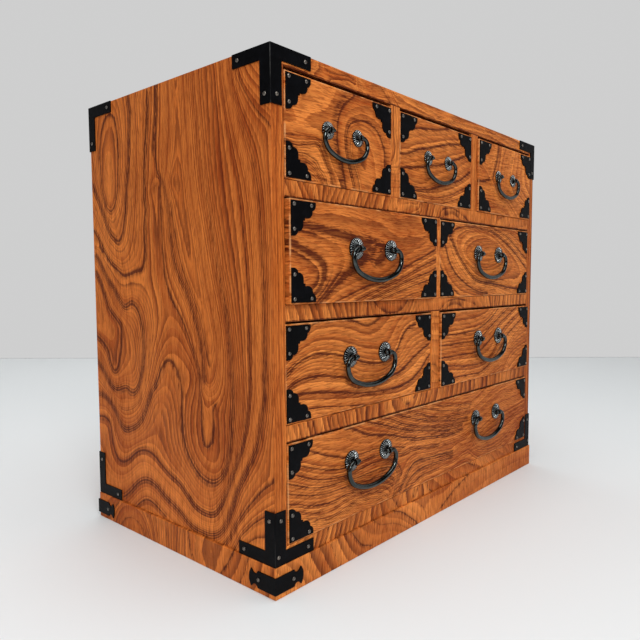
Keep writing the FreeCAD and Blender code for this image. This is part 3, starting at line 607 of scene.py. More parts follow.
drawerLines = {
    "drawer_1_left": [
        (0, .8, [13, 346, 25, 345, 41, 348, 48, 349.5, 53, 346, 58, 338, 64, 329, 67, 319]),
        (-1, .7, [13, 340, 30, 340, 42, 338, 51, 331, 59, 321]), (-2, .7, [15, 333, 36, 334, 46, 330, 54, 321]),
        (-3, .6, [20, 326, 38, 326, 48, 322]),
        (1, .5, [13, 352, 30, 352.5, 48, 354, 57, 346, 61, 338, 66, 330, 71, 320]),
        (2, 1.15, [97, 401, 88, 394, 79, 386, 73, 376, 71, 362, 72.5, 350, 77, 339, 80, 328, 82, 319], (6, 2.6)),
        (3, .95, [138, 345, 138, 356, 134, 365, 128, 373, 118, 378, 107, 379.5, 95, 377, 88, 373, 84.5, 365, 84, 355,
         86, 345, 90, 334, 94, 324, 95, 319], (2.6, 2.6)),
        (4, .6, [92, 366, 89, 358, 89.5, 348, 94, 338, 99, 328, 101, 319]), (4.4, .2, [112, 362, 116, 356, 120, 350]),
        (1.5, .2, [30, 375, 50, 385])],
    "drawer_1_centre": [
        (5, .8, [161, 381, 185, 385.5, 208, 389.5, 232, 393, 244, 396, 256, 399]),
        (4, 1, [160, 359, 175, 361, 191, 367, 208, 371, 225, 375, 239, 379, 255, 382, 267, 384, 294, 392]),
        (3, .9, [161, 346, 175, 348, 191, 350.5, 215, 354.7, 232, 358, 247, 363, 262, 367.5, 277, 373, 294, 378]),
        (2, 1, [161, 331, 175, 331, 191, 329.7, 208, 331, 222, 334, 239, 339, 255, 343, 272, 348, 289, 356.7, 294,
         359]), (1, .6, [161, 325, 186, 325.5, 222, 325, 239, 327.5, 255, 331.7, 270, 337, 294, 346]),
        (0, .5, [200, 319, 232, 320.5, 250, 324, 270, 329])],
    "drawer_1_right": [
        (0, 1, [308, 351.5, 322, 352.5, 335, 356.7, 342, 363, 347, 373, 352, 383, 355, 395, 356, 401]),
        (1, .5, [361, 401, 359, 388, 356, 376, 352, 364]),
        (2, .4, [374, 401, 368, 388, 363, 374, 361, 360, 360, 345]),
        (3, .3, [385, 401, 378, 388, 372, 374, 369, 358]), (4, .3, [396, 401, 390, 385, 385, 370, 383, 355]),
        (5, .3, [408, 401, 405, 385, 402, 370, 404, 350]), (-1, .3, [308, 344, 330, 341, 347, 343]),
        (-2, .3, [308, 334, 340, 331, 370, 328])],
    "drawer_2_left": [
        (3, 1.25, [13, 289, 30, 288, 43, 287, 75, 284, 101, 281, 121, 279.7, 130, 275.5, 125, 268, 108, 261, 91, 251,
         71, 241, 51, 228], (1.8, 9)),
        (4, 1.25, [13, 275, 25, 271, 41, 264.7, 51, 259.7, 54, 254.7, 53, 244.7, 46, 234.7], (1.8, 10)),
        (2, .8, [66, 225.5, 108, 238, 125, 241, 150, 249.7, 175, 258.8, 200, 267, 218, 274]),
        (1, .8, [91, 225.5, 125, 236, 158, 244.7, 191, 256, 218, 263.8]),
        (0, .8, [108, 225.5, 141, 234.7, 175, 243.8, 206, 251, 218, 255]),
        (-1, .7, [125, 225.5, 158, 233.8, 191, 240.5, 218, 246]),
        (-2, .6, [158, 225.5, 175, 229.7, 191, 232, 218, 237]), (-3, .5, [185, 225.5, 218, 230]),
        (2.5, .2, [150, 290, 190, 295]), (2.6, .2, [60, 300, 110, 298])],
    "drawer_2_right": [
        (0, 1, [250, 289, 259, 280.7, 270, 269, 285, 257, 300, 247, 315, 242, 339, 239, 364, 236.5, 389, 233, 407,
         231.5, 442, 229]),
        (-1, .4, [245, 289, 249.5, 285.7, 257, 272, 272, 257, 289, 247, 305, 239, 322, 234.8, 355, 231.5]),
        (-2, 1, [232, 284, 242, 277, 250, 262, 264, 249, 280, 240.7, 297, 234, 314, 229.8, 335, 227]),
        (-3, .6, [232, 258, 244, 244, 255, 235.7, 272, 227]),
        (0, .9, [250, 289, 262, 298, 280, 301.5, 300, 302.5, 320, 302, 339, 300.7, 360, 295.7, 380, 289, 397, 282,
         414, 274, 432, 264, 442, 259]), (-1, .8, [345, 303.5, 372, 299, 389, 294, 405, 287, 422, 279, 439, 270.7]),
        (-2, .5, [372, 304, 397, 299, 414, 294, 442, 283]),
        (1, .25, [272, 287, 289, 295.7, 314, 298, 339, 295.7, 364, 287, 385, 277]),
        (1, .25, [275, 272, 290, 262, 320, 250, 360, 247, 390, 252]),
        (2, .2, [375, 274, 362, 285, 330, 291, 298, 285, 285, 274, 298, 263, 330, 257, 362, 263, 375, 274])],
    "drawer_3_left": [
        (6, .8, [38, 204, 45, 207.5, 55, 209.5, 75, 210, 90, 208.5, 100, 206, 108, 203.5, 116, 203, 124, 205, 133,
         209, 137, 211]),
        (4, 1, [13, 170, 18, 173, 25, 177.3, 33, 180.7, 41, 182.7, 50, 183.7, 58, 183, 66, 182, 75, 180.2, 80, 179,
         98, 174, 108, 171, 116, 169, 125, 168, 133, 167.3, 141, 168, 151, 172, 159, 176.5, 163, 180.7, 166, 185.7,
         170, 190.7, 175, 194.8, 181, 197.7, 189, 199]),
        (2, 1, [18, 160.3, 25, 163.2, 33, 165.2, 41, 165.7, 50, 165.3, 58, 164.5, 66, 163.2, 75, 161.5, 83, 160.3, 91,
         155.7, 101, 151.5, 125, 149.8, 141, 151, 153, 153.7, 165, 156.5, 175, 160.7, 185, 165.7, 195, 170.3, 205,
         174.8, 213, 177.3]),
        (1, .9, [28, 154, 38, 153.2, 50, 152, 63, 150.3, 75, 148.7, 83, 147.3, 95, 145.3, 108, 143.7, 125, 142.3, 141,
         141.5, 158, 141.3, 170, 142.3, 181, 144.8, 191, 149, 200, 154, 208, 160.7, 215, 166.5]),
        (0, .6, [41, 140.2, 51, 139.8, 63, 138.7, 75, 137, 85, 135.7, 98, 134, 111, 132.7]),
        (-1, .4, [50, 133.3, 60, 132.7])],
    "drawer_3_right": [
        (5, .3, [232, 199, 262, 200, 300, 201, 330, 206, 338, 210]),
        (4, .7, [232, 185, 272, 185, 292, 185.7, 314, 188, 330, 193, 347, 201, 360, 209]),
        (3, .7, [232, 175, 272, 174.8, 300, 174.5, 318, 178, 329, 182.3, 345, 190.7, 364, 199, 380, 205.7, 388, 209]),
        (2, .7, [232, 162, 272, 162, 300, 161, 320, 164, 335, 170.7, 349, 178, 364, 190.7, 380, 197.3, 397, 204, 407,
         208]),
        (1, .6, [232, 153, 255, 152, 277, 149, 300, 148, 325, 149, 345, 156, 360, 168, 372, 182, 389, 190.7, 405,
         197.3, 425, 205]),
        (0, .6, [232, 139, 260, 139, 300, 137.7, 315, 137.7, 325, 139.8, 335, 143.2, 345, 148.2, 365, 160, 385, 175.7,
         399, 182.3, 414, 189, 440, 199]), (-1, .4, [370, 146, 380, 158, 389, 166, 405, 175.7, 422, 182.3, 440, 188]),
        (-2, .4, [380, 148, 389, 157.3, 405, 164, 422, 169, 439, 172.3]), (-3, .3, [385, 140, 405, 152, 440, 160])],
    "drawer_4": [
        (8, 1, [81, 117.7, 91, 114.3, 101, 110.2, 108, 106.8, 116, 104.3, 128, 101.8, 138, 100.2, 150, 97.7, 163,
         93.5, 175, 90.2, 188, 86.8, 205, 84.3, 232, 81, 255, 78, 280, 79]),
        (9, .9, [108, 118.5, 125, 113.5, 141, 108.5, 158, 102.7, 175, 97.7, 191, 94.3, 208, 91.8, 232, 87, 255, 83.5,
         280, 84]),
        (10, .8, [131, 118.5, 150, 112.7, 166, 106, 183, 101, 200, 96.8, 216, 93.5, 232, 91, 255, 88.5, 292, 87.3]),
        (11, .8, [151, 118.5, 168, 112.7, 185, 107.7, 201, 103.5, 218, 99.3, 239, 96.2, 255, 93.5, 272, 91, 292, 90]),
        (12, .7, [168, 118.5, 185, 113.5, 200, 109.3, 216, 104.3, 232, 101, 255, 98, 297, 95]),
        (13, .7, [188, 118.5, 208, 113.5, 232, 107.5, 247, 105.3, 272, 102, 297, 100.3]),
        (14, .6, [211, 118.5, 232, 113.5, 260, 109, 300, 105]),
        (7, .7, [40, 106, 51, 101, 66, 96, 80, 91.8, 100, 90, 125, 90, 150, 86, 170, 82]),
        (6, .7, [26, 97.7, 41, 91.8, 58, 86.8, 75, 83.5, 95, 83, 125, 84, 150, 80, 168, 76.8, 183, 77.3, 200, 75.2,
         232, 71]),
        (5, .8, [25, 90, 38, 84.3, 55, 79.3, 71, 76.8, 91, 75.2, 108, 77.3, 125, 78, 138, 76.8, 152, 73, 160, 66, 163,
         57.7, 161, 49]),
        (4, .7, [11, 86.8, 25, 81.8, 38, 76.8, 51, 73.8, 66, 72.3, 83, 71.8, 100, 70, 130, 70, 150, 67, 158, 60, 156,
         50, 152, 40]), (3, .7, [11, 79.3, 23, 75.2, 36, 71, 51, 67.7, 66, 66.3, 83, 66, 110, 64, 140, 62, 153, 54]),
        (2, .7, [11, 71, 21, 67.7, 33, 63.5, 46, 60.2, 61, 58, 78, 58.5, 100, 58.5, 135, 57, 150, 50]),
        (1, .6, [26, 61, 41, 55.2, 55, 52.7, 71, 52.7, 86, 55.2, 110, 54.5, 135, 53, 147, 45]),
        (0, .6, [35, 52.7, 50, 47.7, 66, 46, 86, 48.5, 101, 51, 125, 50, 142, 42]),
        (-1, .5, [41, 46, 58, 41, 78, 42.7, 96, 46.8, 120, 45, 138, 39]),
        (4, 1, [163, 41, 168, 47.7, 175, 54.3, 181, 59.3, 188, 62.7, 200, 63, 216, 61.8, 232, 60.2, 260, 58]),
        (3, .8, [171, 39, 176, 46, 185, 51, 196, 53.5, 213, 54.3, 232, 54, 260, 53]),
        (2, .6, [176, 38.5, 188, 43, 200, 46.8, 232, 47]), (5, .4, [232, 68.7, 262, 68, 290, 69]),
        (3, .4, [302, 65.3, 309, 53.7, 322, 47, 355, 42.8, 389, 48.7, 405, 56, 420, 62]),
        (6, .3, [372, 78.7, 399, 79.5, 430, 82.8]), (6, .3, [322, 68.7, 339, 73.7, 350, 76])]}
drawerFigures = {name: {"lines": lines, "fine": .4, "wide": (2, 3.4)} for name, lines in drawerLines.items()}

railFigures = {
    "top": {"split": 1, "fine": .5, "lines": [
        (-1, .3, [0, 402, 20, 405, 40, 414]), (3, .3, [41, 402, 70, 408, 95, 412]), (1, .2, [60, 401, 95, 406]),
        (-1, .6, [98, 401, 97, 407, 100, 414]), (-5, .8, [142, 402, 132, 413]), (-8, .4, [157, 402, 147, 413]),
        (-9, .3, [150, 412, 175, 408, 228, 403]), (-10, .3, [175, 413, 228, 408, 250, 410]),
        (-9, .3, [260, 402.5, 300, 405, 340, 406, 380, 403]),
        (-10, .4, [227, 404, 260, 407, 300, 410, 340, 411, 380, 408, 415, 404]),
        (-11, .3, [400, 413, 430, 410, 455, 405])]},
    "upper": {"split": 1, "fine": .58, "span": (319, 306), "lines": [
        (0, .6, [13, 317, 19, 307]), (4, .5, [39, 318, 46, 307]), (7, .3, 64, 58), (10, .5, 83, 76),
        (15, .4, 114, 107), (20, .5, 148, 140), (21, .5, [150, 306, 165, 313, 180, 316, 193, 318]),
        (20, .4, [165, 306, 178, 311, 190, 313]), (18, .8, [190, 308, 197, 319]), (15, .4, 212, 206),
        (12, .4, 228, 222), (10, 1, [230, 306, 238, 315, 250, 317, 262, 316, 275, 312, 290, 306]),
        (9, .6, [236, 306, 256, 312, 273, 306]), (12, .1, [300, 318, 340, 318]),
        (13, 1, [352, 306, 362, 313, 375, 318]), (11, .4, [385, 306, 400, 313, 425, 318]),
        (10, .3, [410, 306, 442, 313])]},
    "middle": {"split": 1, "fine": .6, "span": (225, 212), "lines": [
        (0, .6, 22, 28), (1, .4, 31, 37), (2, .4, 38, 44), (5, .6, 59, 65), (7, .5, 73, 79), (10, .3, 95, 96),
        (13, .3, 112, 111), (15, 1, [122, 225, 128, 219, 140, 214, 155, 213, 168, 217, 175, 224]),
        (16, .4, [135, 225, 148, 220, 163, 225]), (12, .6, [190, 222, 184, 213]),
        (10, .9, [235, 213, 245, 219, 258, 222, 275, 222, 300, 217, 310, 213]),
        (9, .6, [245, 213, 256, 217, 268, 217, 280, 213]), (12, .6, [326, 225, 335, 213]),
        (16, .3, [358, 213, 360, 225]), (20, .7, [380, 213, 381, 225]), (25, .6, [419, 213, 421, 225])]},
    "lower": {"split": 1, "fine": .6, "span": (132, 119), "lines": [
        (0, .5, 25, 29), (2, .4, 35, 39), (3, .9, 41, 45), (5, .4, 53, 57), (7, .9, 64, 68), (9, .5, 76, 80),
        (11, .4, 85, 88), (16, .3, 120, 118), (20, .9, [163, 132, 168, 126, 175, 122, 183, 125, 190, 131]),
        (17, .5, 201, 196), (16, .5, 206, 201), (12, .2, 243, 240), (6, .6, 301, 299), (0, .2, 361, 360),
        (-6, .6, 428, 426)]},
    "bottom": {"split": 1, "fine": .6, "span": (38, 25), "lines": [
        (0, .4, 20, 27), (4, .9, 50, 55), (7, .9, 68, 74), (10, .5, 88, 92), (11, .5, 97, 99), (12, .5, 104, 108),
        (13, .5, 112, 118), (15, .5, 126, 136), (17, .9, [145, 38, 152, 32, 160, 25]), (20, .8, [195, 37, 185, 28]),
        (18, .8, [210, 38, 216, 30, 222, 25]), (16, .3, 240, 258), (14, .3, [265, 38, 285, 31, 300, 25]),
        (13, .8, [300, 38, 320, 31, 330, 25]), (11, .6, 355, 370), (10, .5, 375, 395), (9, .5, 395, 410)]}}
plinthFigure = {"split": 1, "fine": .6, "lines": [
    (0, .3, [10, 24, 22, 12, 32, 0]), (2, .4, [35, 25, 42, 12, 50, 0]), (4, .5, [60, 25, 66, 12, 73, 0]),
    (7, 1, [88, 24, 96, 14, 104, 7, 115, 3]), (9, .5, [120, 25, 130, 18, 150, 13, 165, 6, 175, 0]),
    (11, 1, [150, 25, 165, 19, 175, 12, 185, 5, 190, 0]), (13, .7, [192, 20, 203, 12, 207, 5, 206, 0]),
    (13, .6, [220, 20, 210, 16, 204, 10]), (12, .9, [235, 3, 250, 10, 265, 16, 285, 22, 295, 25]),
    (11, .4, [250, 2, 280, 10, 320, 17]), (10, .3, [300, 3, 340, 8, 400, 12, 455, 10]),
    (12, .3, [330, 22, 380, 23, 455, 21])]}
plinthSide = {"split": 2, "fine": .5, "span": (25, 1), "lines": [
    (4, .6, [222, 1, 216, 8, 207, 13, 198, 14.5, 188, 12, 181, 7, 178, 1]),
    (3, .2, [233, 1, 227, 11, 216, 21, 203, 25, 190, 24, 180, 18, 173, 8, 170, 1]),
    (2, .7, [244, 1, 236, 13, 224, 25]), (1, .3, [262, 3, 248, 18, 240, 25]), (2, .4, [176, 25, 168, 12, 165, 1]),
    (1, .5, [168, 25, 163, 12, 160, 1]), (0, .4, 159, 156), (-1, .5, 150, 149), (-2, .6, 143, 142),
    (-3, .3, 134, 134), (-4, .5, 124, 126), (-5, .5, 116, 118), (-6, .9, [108, 25, 106, 12, 102, 1]),
    (-5.6, .1, [90, 25, 92, 12, 88, 1]), (-5.3, .1, [72, 25, 80, 12, 76, 1]), (-6, 1, [46, 25, 54, 12, 63, 1]),
    (-7, .7, [28, 25, 33, 12, 39, 1]), (-8, .4, [12, 25, 16, 12, 22, 1]), (-9, .3, [-2, 25, 2, 12, 5, 1])]}
dividerFronts = {
    "divider_1_left": ringField({"split": 1, "fine": .6, "lines": [
        (0, .6, [152, 400, 153, 390, 151, 380, 154, 370, 155, 362, 151, 355, 147, 350]),
        (-2, .4, [158, 400, 159, 385, 160, 365]), (1, .4, [148, 398, 147, 380, 149, 365]),
        (-2, .6, [147, 345, 161, 348]), (-4, .5, [147, 339, 161, 341]), (-6, .5, [147, 333, 161, 334]),
        (-8, .4, [147, 327, 161, 328])]}),
    "divider_1_right": straightField(4.0, seed=4, bold=.25, along=1),
    "divider_2": straightField(3.5, lean=.12, seed=8, bold=.5),
    "divider_3": ringField({"split": 1, "fine": .7, "lines": [
        (0, .5, [218, 208, 232, 207]), (6, .5, [218, 184, 232, 182]),
        (9, .7, [219, 159, 226, 158, 231, 154, 232, 150]), (10, .5, [218, 152, 224, 151, 228, 147]),
        (13, .5, [218, 140, 232, 139])]})}


# the boards of the case, the plinth and the drawer fronts
edge = {"pitch": 2.7, "waves": 0.4, "along": 1}  # the side boards' straight grain at the front
under = ((2, 0, 1.3),)  # painted shade: the underside of a rail is painted dark above the drawer's gap
caseBoards = {
    "side_left_board": {
        "node": "side_panel_left", "cells": (20, 1.8, 1.8), "face": "yz", "main": ringField(sideFigure),
        "front": straightField(seed=3, bold=0.75, **edge), "mitre": (0, 2, leftX)},
    "side_right_board": {
        "node": "side_panel_right", "cells": (20, 3.5, 3.5), "face": "yz",
        "main": archField(150, 120, 420, 9, seed=2, along=1),
        "front": straightField(seed=5, bold=0.7, **edge), "mitre": (0, 2, rightX)},
    "top_cover_board": {
        "node": "top_board", "cells": (3.0, 6, 20), "face": "xy", "main": archField(120, 130, 520, 8, seed=1),
        "front": ringField(railFigures["top"]), "mitre": (2, 0, topZ), "skin": keyaki, "dim": under,
        "frontGrain": "z"},
    "bottom_rail_board": {
        "node": "bottom_board", "cells": (2.4, 12, 20), "face": "xy", "main": archField(140, 130, 500, 9, seed=4),
        "front": ringField(railFigures["bottom"]), "mitre": (2, 0, footZ), "skin": keyaki}}
for rail in ("upper", "middle", "lower"):
    caseBoards["shelf_" + rail + "_board"] = {
        "node": "shelf_" + rail, "cells": (2.4, 12, 20), "face": "xy",
        "main": archField(130, 120, 480, 9, seed=len(rail)), "front": ringField(railFigures[rail]), "skin": keyaki,
        "dim": under}
for divider, figure in dividerFronts.items():
    caseBoards[divider + "_board"] = {
        "node": divider, "cells": (20, 14, 2.4), "face": "yz", "main": straightField(7, seed=6, along=1),
        "front": figure, "skin": keyaki}
caseBoards["back_boards"] = {
    "node": "back_panel", "cells": (5, 20, 5), "face": "xz", "main": archField(190, 150, 460, 9, seed=7, along=1)}

plinthBoards = {
    "plinth_front_board": {
        "node": "plinth_front", "cells": (2.4, 20, 2.4), "face": "xz", "main": ringField(plinthFigure),
        "mitre": (1, 0, frontY - proud), "skin": keyaki, "grain": "x"},
    "plinth_left_board": {
        "node": "plinth_left", "cells": (20, 2.4, 2.4), "face": "yz", "main": ringField(plinthSide),
        "mitre": (0, 1, leftX - proud)},
    "plinth_right_board": {
        "node": "plinth_right", "cells": (20, 4, 4), "face": "yz", "main": archField(8, 40, 220, 12, seed=5),
        "mitre": (0, 1, rightX + proud), "grain": "z"},
    "plinth_back_board": {
        "node": "plinth_back", "cells": (4, 20, 4), "face": "xz", "main": archField(14, 40, 240, 12, seed=6),
        "mitre": (1, 0, backY)}}

# the top face of each front gets painted shade, dark in the gap above it
drawerFaces = {drawer + "_face": {
    "node": drawer + "_front", "body": drawer, "cells": (1.4, 20, 1.4), "face": "xz", "main": ringField(figure),
    "edgeWearAndHighlight": 1.0, "skin": keyaki, "dim": ((2, 1, 1.0),)} for drawer, figure in drawerFigures.items()}

for boards, made in ((caseBoards, "case boards"), (plinthBoards, "plinth"), (drawerFaces, "drawer fronts")):
    for name, values in boards.items():
        makeBoard(name, **values)
    print(made, "made")


# geometry nodes for what repeats: domed nails and rosette petals
def triple(tree, x=0.0, y=0.0, z=0.0):
    return put(tree, "ShaderNodeCombineXYZ", {0: x, 1: y, 2: z}).outputs[0]


def smoothBall(tree, segments, rings, radius, scale, turn=None):
    ball = put(tree, "GeometryNodeMeshUVSphere", {"Segments": segments, "Rings": rings, "Radius": radius})
    shaped = put(tree, "GeometryNodeTransform", {"Geometry": ball.outputs["Mesh"], "Scale": scale, "Rotation": turn})
    return put(tree, "GeometryNodeSetShadeSmooth", {"Geometry": shaped.outputs[0]}).outputs[0]


def aimedCopies(tree, given, outside, shape, size=None):
    # copies of a shape on the points, each facing the way its point says, made real and painted
    facing = put(tree, "GeometryNodeInputNamedAttribute", {"Name": "facing"}, data_type="FLOAT_VECTOR")
    aim = put(tree, "FunctionNodeAlignRotationToVector", {"Vector": facing.outputs["Attribute"]}, axis="Z")
    place = put(tree, "GeometryNodeInstanceOnPoints", {"Points": given["Geometry"], "Instance": shape,
                                                       "Rotation": aim.outputs[0], "Scale": size})
    real = put(tree, "GeometryNodeRealizeInstances", {0: place.outputs[0]})
    paint = put(tree, "GeometryNodeSetMaterial", {"Geometry": real.outputs[0], "Material": given["Material"]})
    feed(outside.inputs[0], paint.outputs[0])
    return tree


def grownFrom(name, points, facing, tree, values):
    # runs a tree on a cloud of points, each with the direction it faces, and keeps the result as a plain mesh
    mesh = bpy.data.meshes.new(name)
    mesh.from_pydata([tuple(v * mm for v in p) for p in points], [], [])
    store = mesh.attributes.new("facing", "FLOAT_VECTOR", "POINT")
    store.data.foreach_set("vector", np.array(facing, np.float32).ravel())
    piece = newObject(name, mesh)
    step = piece.modifiers.new("grow", "NODES")
    step.node_group = tree
    sockets = {item.name: item.identifier for item in tree.interface.items_tree if item.in_out == "INPUT"}
    for label, value in values.items():
        step[sockets[label]] = value
    bpy.context.view_layer.update()
    grown = bpy.data.meshes.new_from_object(piece.evaluated_get(bpy.context.evaluated_depsgraph_get()))
    piece.modifiers.remove(step)
    piece.data = grown
    grown.name = name
    return piece


def buildNailTree():
    tree, given, outside = newTree("domedNails", "GeometryNodeTree", [
        ("Geometry", "Geometry"), ("Head", "Float", 0.0034), ("Rise", "Float", 0.0011), ("Uneven", "Float", 0.06),
        ("Seed", "Int", 3), ("Material", "Material")], [("Geometry", "Geometry")])
    radius = given["Head"] * 0.5
    dome = smoothBall(tree, 14, 8, radius, triple(tree, 1.0, 1.0, given["Rise"] / radius))
    size = put(tree, "FunctionNodeRandomValue", {2: 1.0 - given["Uneven"], 3: 1.0, "Seed": given["Seed"]},
               data_type="FLOAT")
    return aimedCopies(tree, given, outside, dome, size.outputs[1])


nailTree = buildNailTree()
nail = {"head": 3.4, "rise": 1.1}


def growNails(name, spots, facing, body, seed):
    piece = grownFrom(name, spots, facing, nailTree, {
        "Head": nail["head"] * mm, "Rise": nail["rise"] * mm, "Seed": seed, "Material": nailIron})
    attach(piece, body)
    return piece


# drawer corner plates, cut in steps and lobes; the half outline is in shares of a leg, and a pair of points
# on it is the middle and the end of an arc
plate = {"leg": 26.5, "half": [(1.0, 0.09), ((0.95, 0.21), (0.865, 0.26)), ((0.825, 0.40), (0.675, 0.475)),
                               (0.547, 0.475)], "step": 0.547, "sheet": 1.0, "side": 0.9, "level": 1.3,
         "near": 2.8, "inset": 5.1, "edge": 0.22, "round": 0.6}


def arcThrough(a, b, c, count=7):
    # points after a up to c on the circle through a, b and c
    (ax, ay), (bx, by), (cx, cy) = a, b, c
    d = 2 * (ax * (by - cy) + bx * (cy - ay) + cx * (ay - by))
    ux = ((ax**2 + ay**2) * (by - cy) + (bx**2 + by**2) * (cy - ay) + (cx**2 + cy**2) * (ay - by)) / d
    uy = ((ax**2 + ay**2) * (cx - bx) + (bx**2 + by**2) * (ax - cx) + (cx**2 + cy**2) * (bx - ax)) / d
    radius = math.hypot(ax - ux, ay - uy)
    start, mid, end = (math.atan2(y - uy, x - ux) for x, y in (a, b, c))
    turn = (end - start) % (2 * math.pi)
    if (mid - start) % (2 * math.pi) > turn:
        turn -= 2 * math.pi
    return [(ux + radius * math.cos(start + turn * k / count), uy + radius * math.sin(start + turn * k / count))
            for k in range(1, count + 1)]


def plateOutline():
    points = [(0.0, 0.0), (1.0, 0.0)]
    for part in plate["half"]:
        points += arcThrough(points[-1], *part) if isinstance(part[0], tuple) else [part]
    points.append((plate["step"], plate["step"]))
    return points + [(v, u) for u, v in reversed(points[2:-1])] + [(0.0, 1.0)]


def makePlates(drawer):
    low, high = ([v / mm for v in c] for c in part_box(drawer + "_front"))
    faceY, shape, leg, sheet = low[1], plateOutline(), plate["leg"], plate["sheet"]
    near, far = plate["near"], leg - plate["inset"]
    holes = ((near, near), (far, near), (near, far))
    work, spots = bmesh.new(), []
    for side, x in ((1, low[0] + plate["side"]), (-1, high[0] - plate["side"])):
        for level, z in ((1, low[2] + plate["level"]), (-1, high[2] - plate["level"])):
            ring = [work.verts.new((x + side * u * leg, faceY, z + level * v * leg)) for u, v in shape]
            if side * level < 0:
                ring.reverse()
            back = work.faces.new(ring)
            grown = bmesh.ops.extrude_face_region(work, geom=[back], use_keep_orig=True)
            front = [v for v in grown["geom"] if isinstance(v, bmesh.types.BMVert)]
            bmesh.ops.translate(work, verts=front, vec=(0, -sheet, 0))
            spots += [(x + side * u, faceY - sheet, z + level * v) for u, v in holes]
    bmesh.ops.recalc_face_normals(work, faces=work.faces)
    rims = [e for e in work.edges if len(e.link_faces) == 2
            and all(abs(v.co.y - faceY + sheet) < 1e-4 for v in e.verts)]
    bmesh.ops.bevel(work, geom=rims, offset=plate["edge"], segments=2, affect="EDGES", profile=plate["round"])
    bmesh.ops.scale(work, verts=work.verts, vec=(mm, mm, mm))
    mesh = bpy.data.meshes.new(drawer + "_plates")
    work.to_mesh(mesh)
    work.free()
    mesh.materials.append(blackIron)
    piece = newObject(drawer + "_plates", mesh)
    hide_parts(drawer + "_corner_plates")
    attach(piece, drawer)
    growNails(drawer + "_plate_nails", spots, [(0, -1, 0)] * len(spots), drawer, len(drawer))


# nails in the case brackets and the plinth bands
bracket = {"arm": 41.5, "leg": 42.5, "width": 10.5, "sheet": 1.0, "armNail": 6.3, "legNail": 7.2,
           "foot": (2.6, 7.3)}
band = {"centre": 11.2, "reach": 18.5, "sheet": 1.0}


def makeBracketNails():
    spots, facing = [], []

    def drive(x, y, z, way):
        spots.append((x, y, z))
        facing.append(way)

    middle, reach = bracket["width"] / 2, bracket["arm"] - bracket["armNail"]
    down, (footX, footUp) = bracket["leg"] - bracket["legNail"], bracket["foot"]
    for side, faceX in ((-1, leftX), (1, rightX)):
        for end, faceY in ((-1, frontY), (1, backY)):
            ahead, aside = (0, end, 0), (side, 0, 0)
            bendX, bendY = faceX + side * bracket["sheet"], faceY + end * bracket["sheet"]
            for level, edge in ((-1, footZ), (1, topZ)):
                armZ, legZ = edge - level * middle, edge - level * down
                drive(faceX - side * reach, bendY, armZ, ahead)
                drive(bendX, faceY - end * reach, armZ, aside)
                drive(faceX - side * middle, bendY, legZ, ahead)
                drive(bendX, faceY - end * middle, legZ, aside)
                if level < 0 and end < 0:
                    drive(faceX - side * footX, bendY, edge + footUp, ahead)
            if (side, end) != (1, -1):  # that corner has no band
                outX, outY = faceX + side * proud, faceY - proud if end < 0 else faceY
                drive(outX - side * band["reach"], outY + end * band["sheet"], band["centre"], ahead)
                drive(outX + side * band["sheet"], outY - end * band["reach"], band["centre"], aside)
    piece = growNails("case_nails", spots, facing, "case", 5)
    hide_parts("bracket_nails")


for drawer in drawerFigures:
    makePlates(drawer)
makeBracketNails()
print("ironwork made")


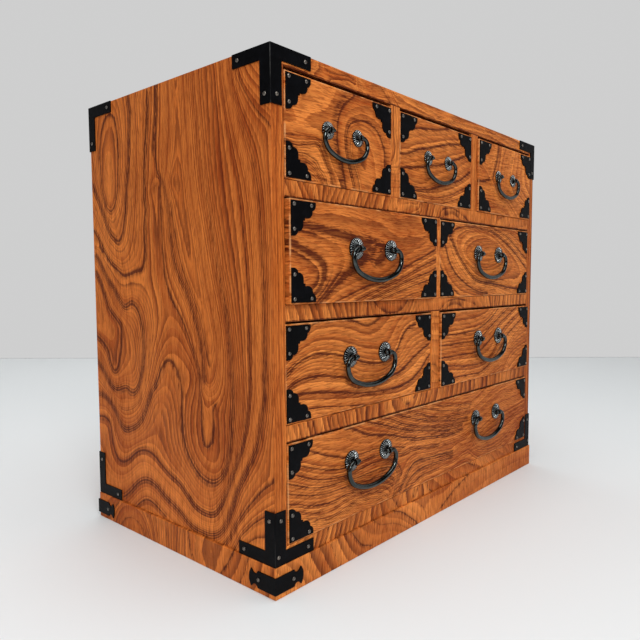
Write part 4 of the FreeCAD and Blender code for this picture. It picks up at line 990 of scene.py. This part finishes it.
# rosettes: fluted petals round each handle post
def buildPetalTree():
    tree, given, outside = newTree("rosettePetals", "GeometryNodeTree", [
        ("Geometry", "Geometry"), ("Petals", "Int", 22), ("Radius", "Float", 0.0047), ("Length", "Float", 0.0028),
        ("Width", "Float", 0.0011), ("Height", "Float", 0.0007), ("Slope", "Float", 0.14), ("Lift", "Float", 0.0009),
        ("Material", "Material")], [("Geometry", "Geometry")])
    petal = smoothBall(tree, 12, 8, 1.0, triple(tree, *(given[label] for label in ("Length", "Width", "Height"))),
                       triple(tree, y=given["Slope"]))
    ring = put(tree, "GeometryNodeMeshCircle", {"Vertices": given["Petals"], "Radius": given["Radius"]})
    outward = put(tree, "GeometryNodeInputPosition").outputs[0]
    turn = put(tree, "FunctionNodeAlignRotationToVector", {"Vector": outward}, axis="X", pivot_axis="Z")
    flower = put(tree, "GeometryNodeInstanceOnPoints", {"Points": ring.outputs["Mesh"], "Instance": petal,
                                                        "Rotation": turn.outputs[0]})
    raised = put(tree, "GeometryNodeTransform", {"Geometry": flower.outputs[0],
                                                 "Translation": triple(tree, z=given["Lift"])})
    return aimedCopies(tree, given, outside, raised.outputs[0])


petalTree = buildPetalTree()
# pitch: between the two posts of a bail; top: how far a bail reaches above its hinge line
rosettes = {"small": {"pitch": 37.5, "rim": 7.0, "petals": 22, "top": 1.65},
            "large": {"pitch": 49.0, "rim": 9.15, "petals": 26, "top": 1.9}}
# the petals' measures in shares of the rim's radius, and their slope in radians
petals = {"ring": 0.66, "length": 0.385, "height": 0.17, "lift": 0.135, "filled": 0.98, "slope": 0.16}


def makeRosettes(drawer):
    size = rosettes["small" if drawer.startswith("drawer_1") else "large"]
    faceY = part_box(drawer + "_front")[0][1] / mm
    spots = []
    for bail in (["bail_left", "bail_right"] if drawer == "drawer_4" else ["bail"]):
        low, high = ([v / mm for v in c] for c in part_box(drawer + "_" + bail))
        middle, hinge = (low[0] + high[0]) / 2, high[2] - size["top"]
        spots += [(middle + side * size["pitch"] / 2, faceY, hinge) for side in (-1, 1)]
    rim = size["rim"] * mm
    piece = grownFrom(drawer + "_petals", spots, [(0, -1, 0)] * len(spots), petalTree, {
        "Petals": size["petals"], "Radius": rim * petals["ring"], "Length": rim * petals["length"],
        "Width": rim * petals["ring"] * math.pi / size["petals"] * petals["filled"],
        "Height": rim * petals["height"], "Slope": petals["slope"], "Lift": rim * petals["lift"],
        "Material": rosetteIron})
    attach(piece, drawer)


for drawer in drawerFigures:
    makeRosettes(drawer)
print("rosettes made")


# finishes on the nodes that stay as they are
def dress(node, mat):
    thing = nodes[node]
    thing.data.materials.clear()
    thing.data.materials.append(mat)


for node in nodes:
    if node.endswith("_box"):
        dress(node, drawerWood)
    elif node.endswith("_bail") or "_bail_" in node or node.endswith("_handle_posts"):
        dress(node, forgedIron)
    elif node.endswith("_corner_plates") or node in ("case_corner_brackets", "plinth_corner_bands", "bracket_nails"):
        dress(node, bracketIron if node == "case_corner_brackets" else blackIron)
